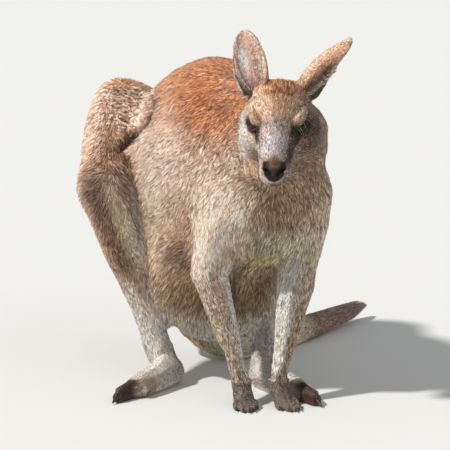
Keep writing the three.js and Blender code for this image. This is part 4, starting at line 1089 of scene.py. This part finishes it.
hair_material, tree, shader = finish("single_hair", 0.4, Specular_IOR_Level=0.4)
grained(tree, shader, 900.0, 0.4, 1.0)
lashes, feelers = [], []
for s in (-1, 1):
    gaze, fore, rise = eye_frames[s]
    for turn in np.radians(np.arange(-56, 60, 7)):
        lift = math.radians(LID_UP * math.sqrt(1 - (math.degrees(turn) / LID_WIDE) ** 2) + 3)
        out = (gaze * math.cos(turn) + fore * math.sin(turn)) * math.cos(lift) + rise * math.sin(lift)
        way = unit(out + rise * 0.1 - CROWN * 0.25 + rng.normal(0, 0.08, 3))
        lashes.append((EYES[s] + out * (EYE_RADIUS + 0.0012), way, rng.uniform(0.006, 0.009), 0.0015))
    for left, ahead, up in ((40, 20, 22), (45, 12, 26), (50, 3, 28), (54, -4, 24), (37, 24, 17)):
        way = unit(np.array([0.5 * s, 0.55, 0.15]) + rng.normal(0, 0.25, 3)) @ HEAD_AXES
        feelers.append((from_head(left * s, ahead, up - 4), way, rng.uniform(0.022, 0.034), 0.007))
    for i in range(11):
        left, ahead, up = 21 + 5 * rng.random(), 84 + 26 * rng.random(), -17 - 13 * rng.random()
        way = unit(np.array([0.8 * s, 0.1, -0.35]) + rng.normal(0, 0.22, 3)) @ HEAD_AXES
        feelers.append((from_head((left - 2) * s, ahead, up), way, rng.uniform(0.022, 0.042), 0.010))
strands("lashes", lashes, hair_material, SOOT * 0.4, 0.00032)
strands("whiskers", feelers, hair_material, CREAM * 0.9, 0.00026)

# %% [markdown]
# ## An unwrap for the coat
# Each tuft will keep one small patch of a flat map at the place where it grows. The map comes from
# a light copy of the skin, cut open along its folds, because a map made tuft by tuft would scatter
# a quarter of a million crumbs, and neighbours would no longer share their colours.

# %% Unwrap a light copy of the skin
LIGHT_TRIANGLES = 7000
light = plain_object("light_skin", skin_points, skin_faces)
thin = light.modifiers.new("thin", "DECIMATE")
thin.ratio = LIGHT_TRIANGLES / len(skin_faces)
light_points, light_faces = modified(light)
bpy.data.objects.remove(light)
light = plain_object("light_skin", light_points, light_faces)
bpy.context.view_layer.objects.active = light
light.select_set(True)
bpy.ops.object.mode_set(mode="EDIT")
bpy.ops.mesh.select_all(action="SELECT")
bpy.ops.uv.smart_project(angle_limit=math.radians(62), island_margin=0.004)
bpy.ops.object.mode_set(mode="OBJECT")
light_uv = np.empty(len(light_faces) * 6, np.float32)
light.data.uv_layers.active.data.foreach_get("uv", light_uv)
light_uv = light_uv.reshape(-1, 3, 2)
bpy.data.objects.remove(light)
light_tree = BVHTree.FromPolygons([tuple(p) for p in light_points], [tuple(f) for f in light_faces])


def on_unwrap(points):
    """The flat place of each point: its nearest light triangle's corners, blended."""
    hits = [light_tree.find_nearest(p) for p in points.tolist()]
    which = np.array([h[2] for h in hits])
    spot = np.array([h[0][:] for h in hits])
    a, b, c = (light_points[light_faces[which, i]] for i in range(3))
    ab, ac, ap = b - a, c - a, spot - a
    d00, d01, d11 = (ab * ab).sum(1), (ab * ac).sum(1), (ac * ac).sum(1)
    d20, d21 = (ap * ab).sum(1), (ap * ac).sum(1)
    low = np.maximum(d00 * d11 - d01 * d01, 1e-20)
    v, w = (d11 * d20 - d01 * d21) / low, (d00 * d21 - d01 * d20) / low
    u = 1 - v - w
    uv = light_uv[which]
    return uv[:, 0] * u[:, None] + uv[:, 1] * v[:, None] + uv[:, 2] * w[:, None]


print("unwrap:", len(light_faces), "triangles")

# %% [markdown]
# ## The coat
# A real coat is millions of hairs that dry together in locks. Here each tuft stands for a few dozen
# hairs: a thin closed leaf with a ridge, rooted under the skin, that leans along the lie of the
# coat and ends in a point. On the face, ears, hands and feet the hair is short, so a still smaller
# blade serves. Particle hair would look finer but can't be kept as solid mesh.

# %% Sow the roots
TUFTS = 312_000
corner = skin_points[skin_faces]
areas = np.linalg.norm(np.cross(corner[:, 1] - corner[:, 0], corner[:, 2] - corner[:, 0]), axis=1) / 2
face_solid = skin_near[skin_faces[:, 0]]
expected = areas * density[skin_faces].mean(axis=1) * thin_out[skin_faces].mean(axis=1)
expected = expected * (lid_edge[skin_faces] > 4.5).all(axis=1) * (bare[skin_faces].mean(axis=1) < 0.4)
expected *= TUFTS / expected.sum()
for name in ("head", "ear", "neck", "chest", "abdomen", "thigh_right", "forearm_right"):
    mine = [FLESH[i].startswith(name) for i in face_solid]
    print(name, "tufts", int(expected[mine].sum()), "on", round(areas[mine].sum(), 3), "m2")
running = np.cumsum(expected)
count = int(running[-1])
picks = (np.arange(count) + rng.random(count)) / count * running[-1]
which = np.minimum(np.searchsorted(running, picks), len(skin_faces) - 1)
r1, r2 = np.sqrt(rng.random(count)), rng.random(count)
bary = np.stack([1 - r1, r1 * (1 - r2), r1 * r2], axis=1)


def at_roots(values):
    """A point layer of the skin, read at every root."""
    corners = values[skin_faces[which]]
    return (corners * bary.reshape(-1, 3, *[1] * (corners.ndim - 2))).sum(axis=1)


roots = at_roots(skin_points)
upward = unit(at_roots(normals))
solid_of = face_solid[which]
print("roots:", count)

# %% Lean, length and locks
def along_skin(ways):
    """Directions at the roots, with what points out of the skin taken away."""
    return ways - upward * (ways * upward).sum(axis=1, keepdims=True)


wooly = at_roots(wool)
straight = unit(along_skin(at_roots(flow)))
across = np.cross(upward, straight)
LOCK_SPAN, CURL_SPAN = 2.6, 14  # tufts gathered by one lock of plain coat and of wool, about
seeds = roots[rng.random(count) < 1 / (LOCK_SPAN + (CURL_SPAN - LOCK_SPAN) * wooly)]
seed_tree = KDTree(len(seeds))
for i, p in enumerate(seeds.tolist()):
    seed_tree.insert(p, i)
seed_tree.balance()
lock = np.array([seed_tree.find(p)[1] for p in roots.tolist()])
pull = along_skin(seeds[lock] - roots)
lock_tone = rng.random(len(seeds))[lock]
lock_turn = rng.normal(0, 1, len(seeds))[lock]
print("locks:", len(seeds), "mean tufts in a lock:", round(count / len(seeds), 1))
swirl = 0.20 * waves(roots, 0.07, 21) + 0.16 * waves(roots, 0.028, 22) + rng.normal(0, 0.12, count)
swirl += 0.14 * lock_turn + wooly * (1.0 * waves(roots, 0.03, 23) + 0.7 * lock_turn)
lean = straight * np.cos(swirl)[:, None] + across * np.sin(swirl)[:, None]
side_way = np.cross(upward, lean)
tall = at_roots(length)
long = tall * rng.uniform(0.70, 1.15, count) * (1 + 0.12 * waves(roots, 0.05, 24)) * (1 - 0.45 * wooly)
wide = at_roots(width) * rng.uniform(0.75, 1.25, count) * (1 + 0.5 * wooly)
stands = at_roots(stand)
# How steeply a tuft leaves the skin, and how steeply its outer half still climbs.
rise = np.radians(22 + 10 * rng.random(count) + 24 * wooly + 8 * stands)
fall = np.radians(3 + 7 * rng.random(count) + 28 * wooly)

# %% Tones from root to tip
grizzle = at_roots(grizzled) * (1 + 0.25 * waves(roots, 0.06, 26))
own = rng.random(count)
swing = 1.5 * (lock_tone - 0.5) + 0.9 * (own - 0.5)
on_face = at_roots(np.maximum(head, part["ear"]))
tone = np.exp((grizzle * 1.5 + 0.35 * on_face) * swing - 0.10)
base = at_roots(coat_colour) * tone[:, None]
fair = soft(at_roots(coat_colour).mean(axis=1), 0.03, 0.26)  # dark fur has no pale tips
pale = TIP * (0.12 + 0.36 * fair)[:, None] + base * 1.05  # a pale tip keeps some of its hair's own hue
pale_tip = ((0.06 + 1.0 * grizzle * (own > 0.62)) * (0.1 + 0.9 * fair))[:, None]
level_tones = {
    "root": base * np.clip(0.66 - 0.45 * grizzle - 0.15 * wooly, 0.12, 1)[:, None],
    "middle": base * 0.98,
    "tip": base * 1.10 + (pale - base) * np.clip(pale_tip, 0, 0.8) * 0.85,
}

# %% Build the tufts
def bent(share, bend_share=0.5):
    """A place along each tuft: up steeply at first, then down along the coat."""
    first = np.minimum(share, bend_share)
    rest = share - first
    run = first * np.cos(rise) + rest * np.cos(fall)
    up = first * np.sin(rise) + rest * np.sin(fall)
    curve = roots + lean * (long * run)[:, None] + upward * (long * up)[:, None]
    return curve + pull * (gather * share)[:, None]


gather = 0.5 + 0.35 * wooly  # how far a tuft is drawn towards the middle of its lock
ROOT_DEPTH, LONG_HAIR, LOCK_SHARE, PATCH_HALF = 0.0012, 0.0095, 0.22, 0.0015
sink = upward * ROOT_DEPTH
tip_point = bent(1.0)
ridge = bent(0.5) + upward * (wide * 0.42)[:, None]
left, right = -side_way * (wide / 2)[:, None], side_way * (wide / 2)[:, None]
round_off = side_way * 0.55
patches = on_unwrap(roots)
is_lock = (rng.random(count) < LOCK_SHARE) & (tall > LONG_HAIR)
is_lock |= wooly > rng.random(count)

# Points, normals, tones, places on the patch of the flat map, and triangles of each kind of tuft.
SHAPES = {
    "lock": (
        [roots - sink, bent(0.42) + left, bent(0.42) + right, ridge, tip_point],
        [upward, upward - round_off, upward + round_off, upward, upward + lean * 0.25],
        ["root", "middle", "middle", "middle", "tip"],
        [(0, -1), (-1, 0), (1, 0), (0, 0), (0, 1)],
        [(0, 1, 3), (0, 3, 2), (1, 4, 3), (3, 4, 2), (0, 2, 1), (1, 2, 4)],
    ),
    "blade": (
        [roots - sink + left, roots - sink + right, ridge, tip_point],
        [upward - round_off, upward + round_off, upward, upward + lean * 0.25],
        ["root", "root", "middle", "tip"],
        [(-1, -1), (1, -1), (0, 0), (0, 1)],
        [(0, 2, 1), (1, 2, 3), (3, 2, 0), (0, 1, 3)],
    ),
}
coat_material, tree, shader = finish(
    "coat_hair", 0.55, Specular_IOR_Level=0.35, Sheen_Weight=0.25, Sheen_Roughness=0.4,
    Sheen_Tint=(1, 0.95, 0.9, 1))
grained(tree, shader, 900.0, 0.5, 1.0)


def tuft_piece(name, kind, chosen):
    """Joins the chosen tufts of one kind in one mesh, with its flat map."""
    spots, ways, tones, patch_at, corners = SHAPES[kind]
    n, k = len(chosen), len(spots)

    def stack(layers):
        return np.stack([layer[chosen] for layer in layers], axis=1).reshape(n * k, -1)

    faces = (np.arange(n)[:, None, None] * k + np.array(corners)[None]).reshape(-1, 3)
    points = stack(spots)
    points[:, 2] = np.maximum(points[:, 2], 0.0004)
    piece = mesh_piece(name, points, faces, coat_material, unit(stack(ways)),
                       Marking=np.clip(stack([level_tones[t] for t in tones]), 0.004, 0.95))
    uv = (patches[chosen][:, None] + np.array(patch_at)[None] * PATCH_HALF).reshape(-1, 2)
    layer = piece.data.uv_layers.new(name="OFBake")
    layer.data.foreach_set("uv", uv[faces.ravel()].astype(np.float32).ravel())
    return piece


LIMIT = 190_000  # triangles in one piece
total = 0
for kind in SHAPES:
    chosen = np.flatnonzero(is_lock == (kind == "lock"))
    chosen = chosen[np.argsort(solid_of[chosen], kind="stable")]
    each = LIMIT // len(SHAPES[kind][4])
    for i in range(0, len(chosen), each):
        piece = tuft_piece(f"coat_{kind}_{i // each + 1}", kind, chosen[i : i + each])
        total += len(piece.data.polygons)
        print(piece.name, len(piece.data.polygons), "triangles")
print("coat:", total, "triangles")
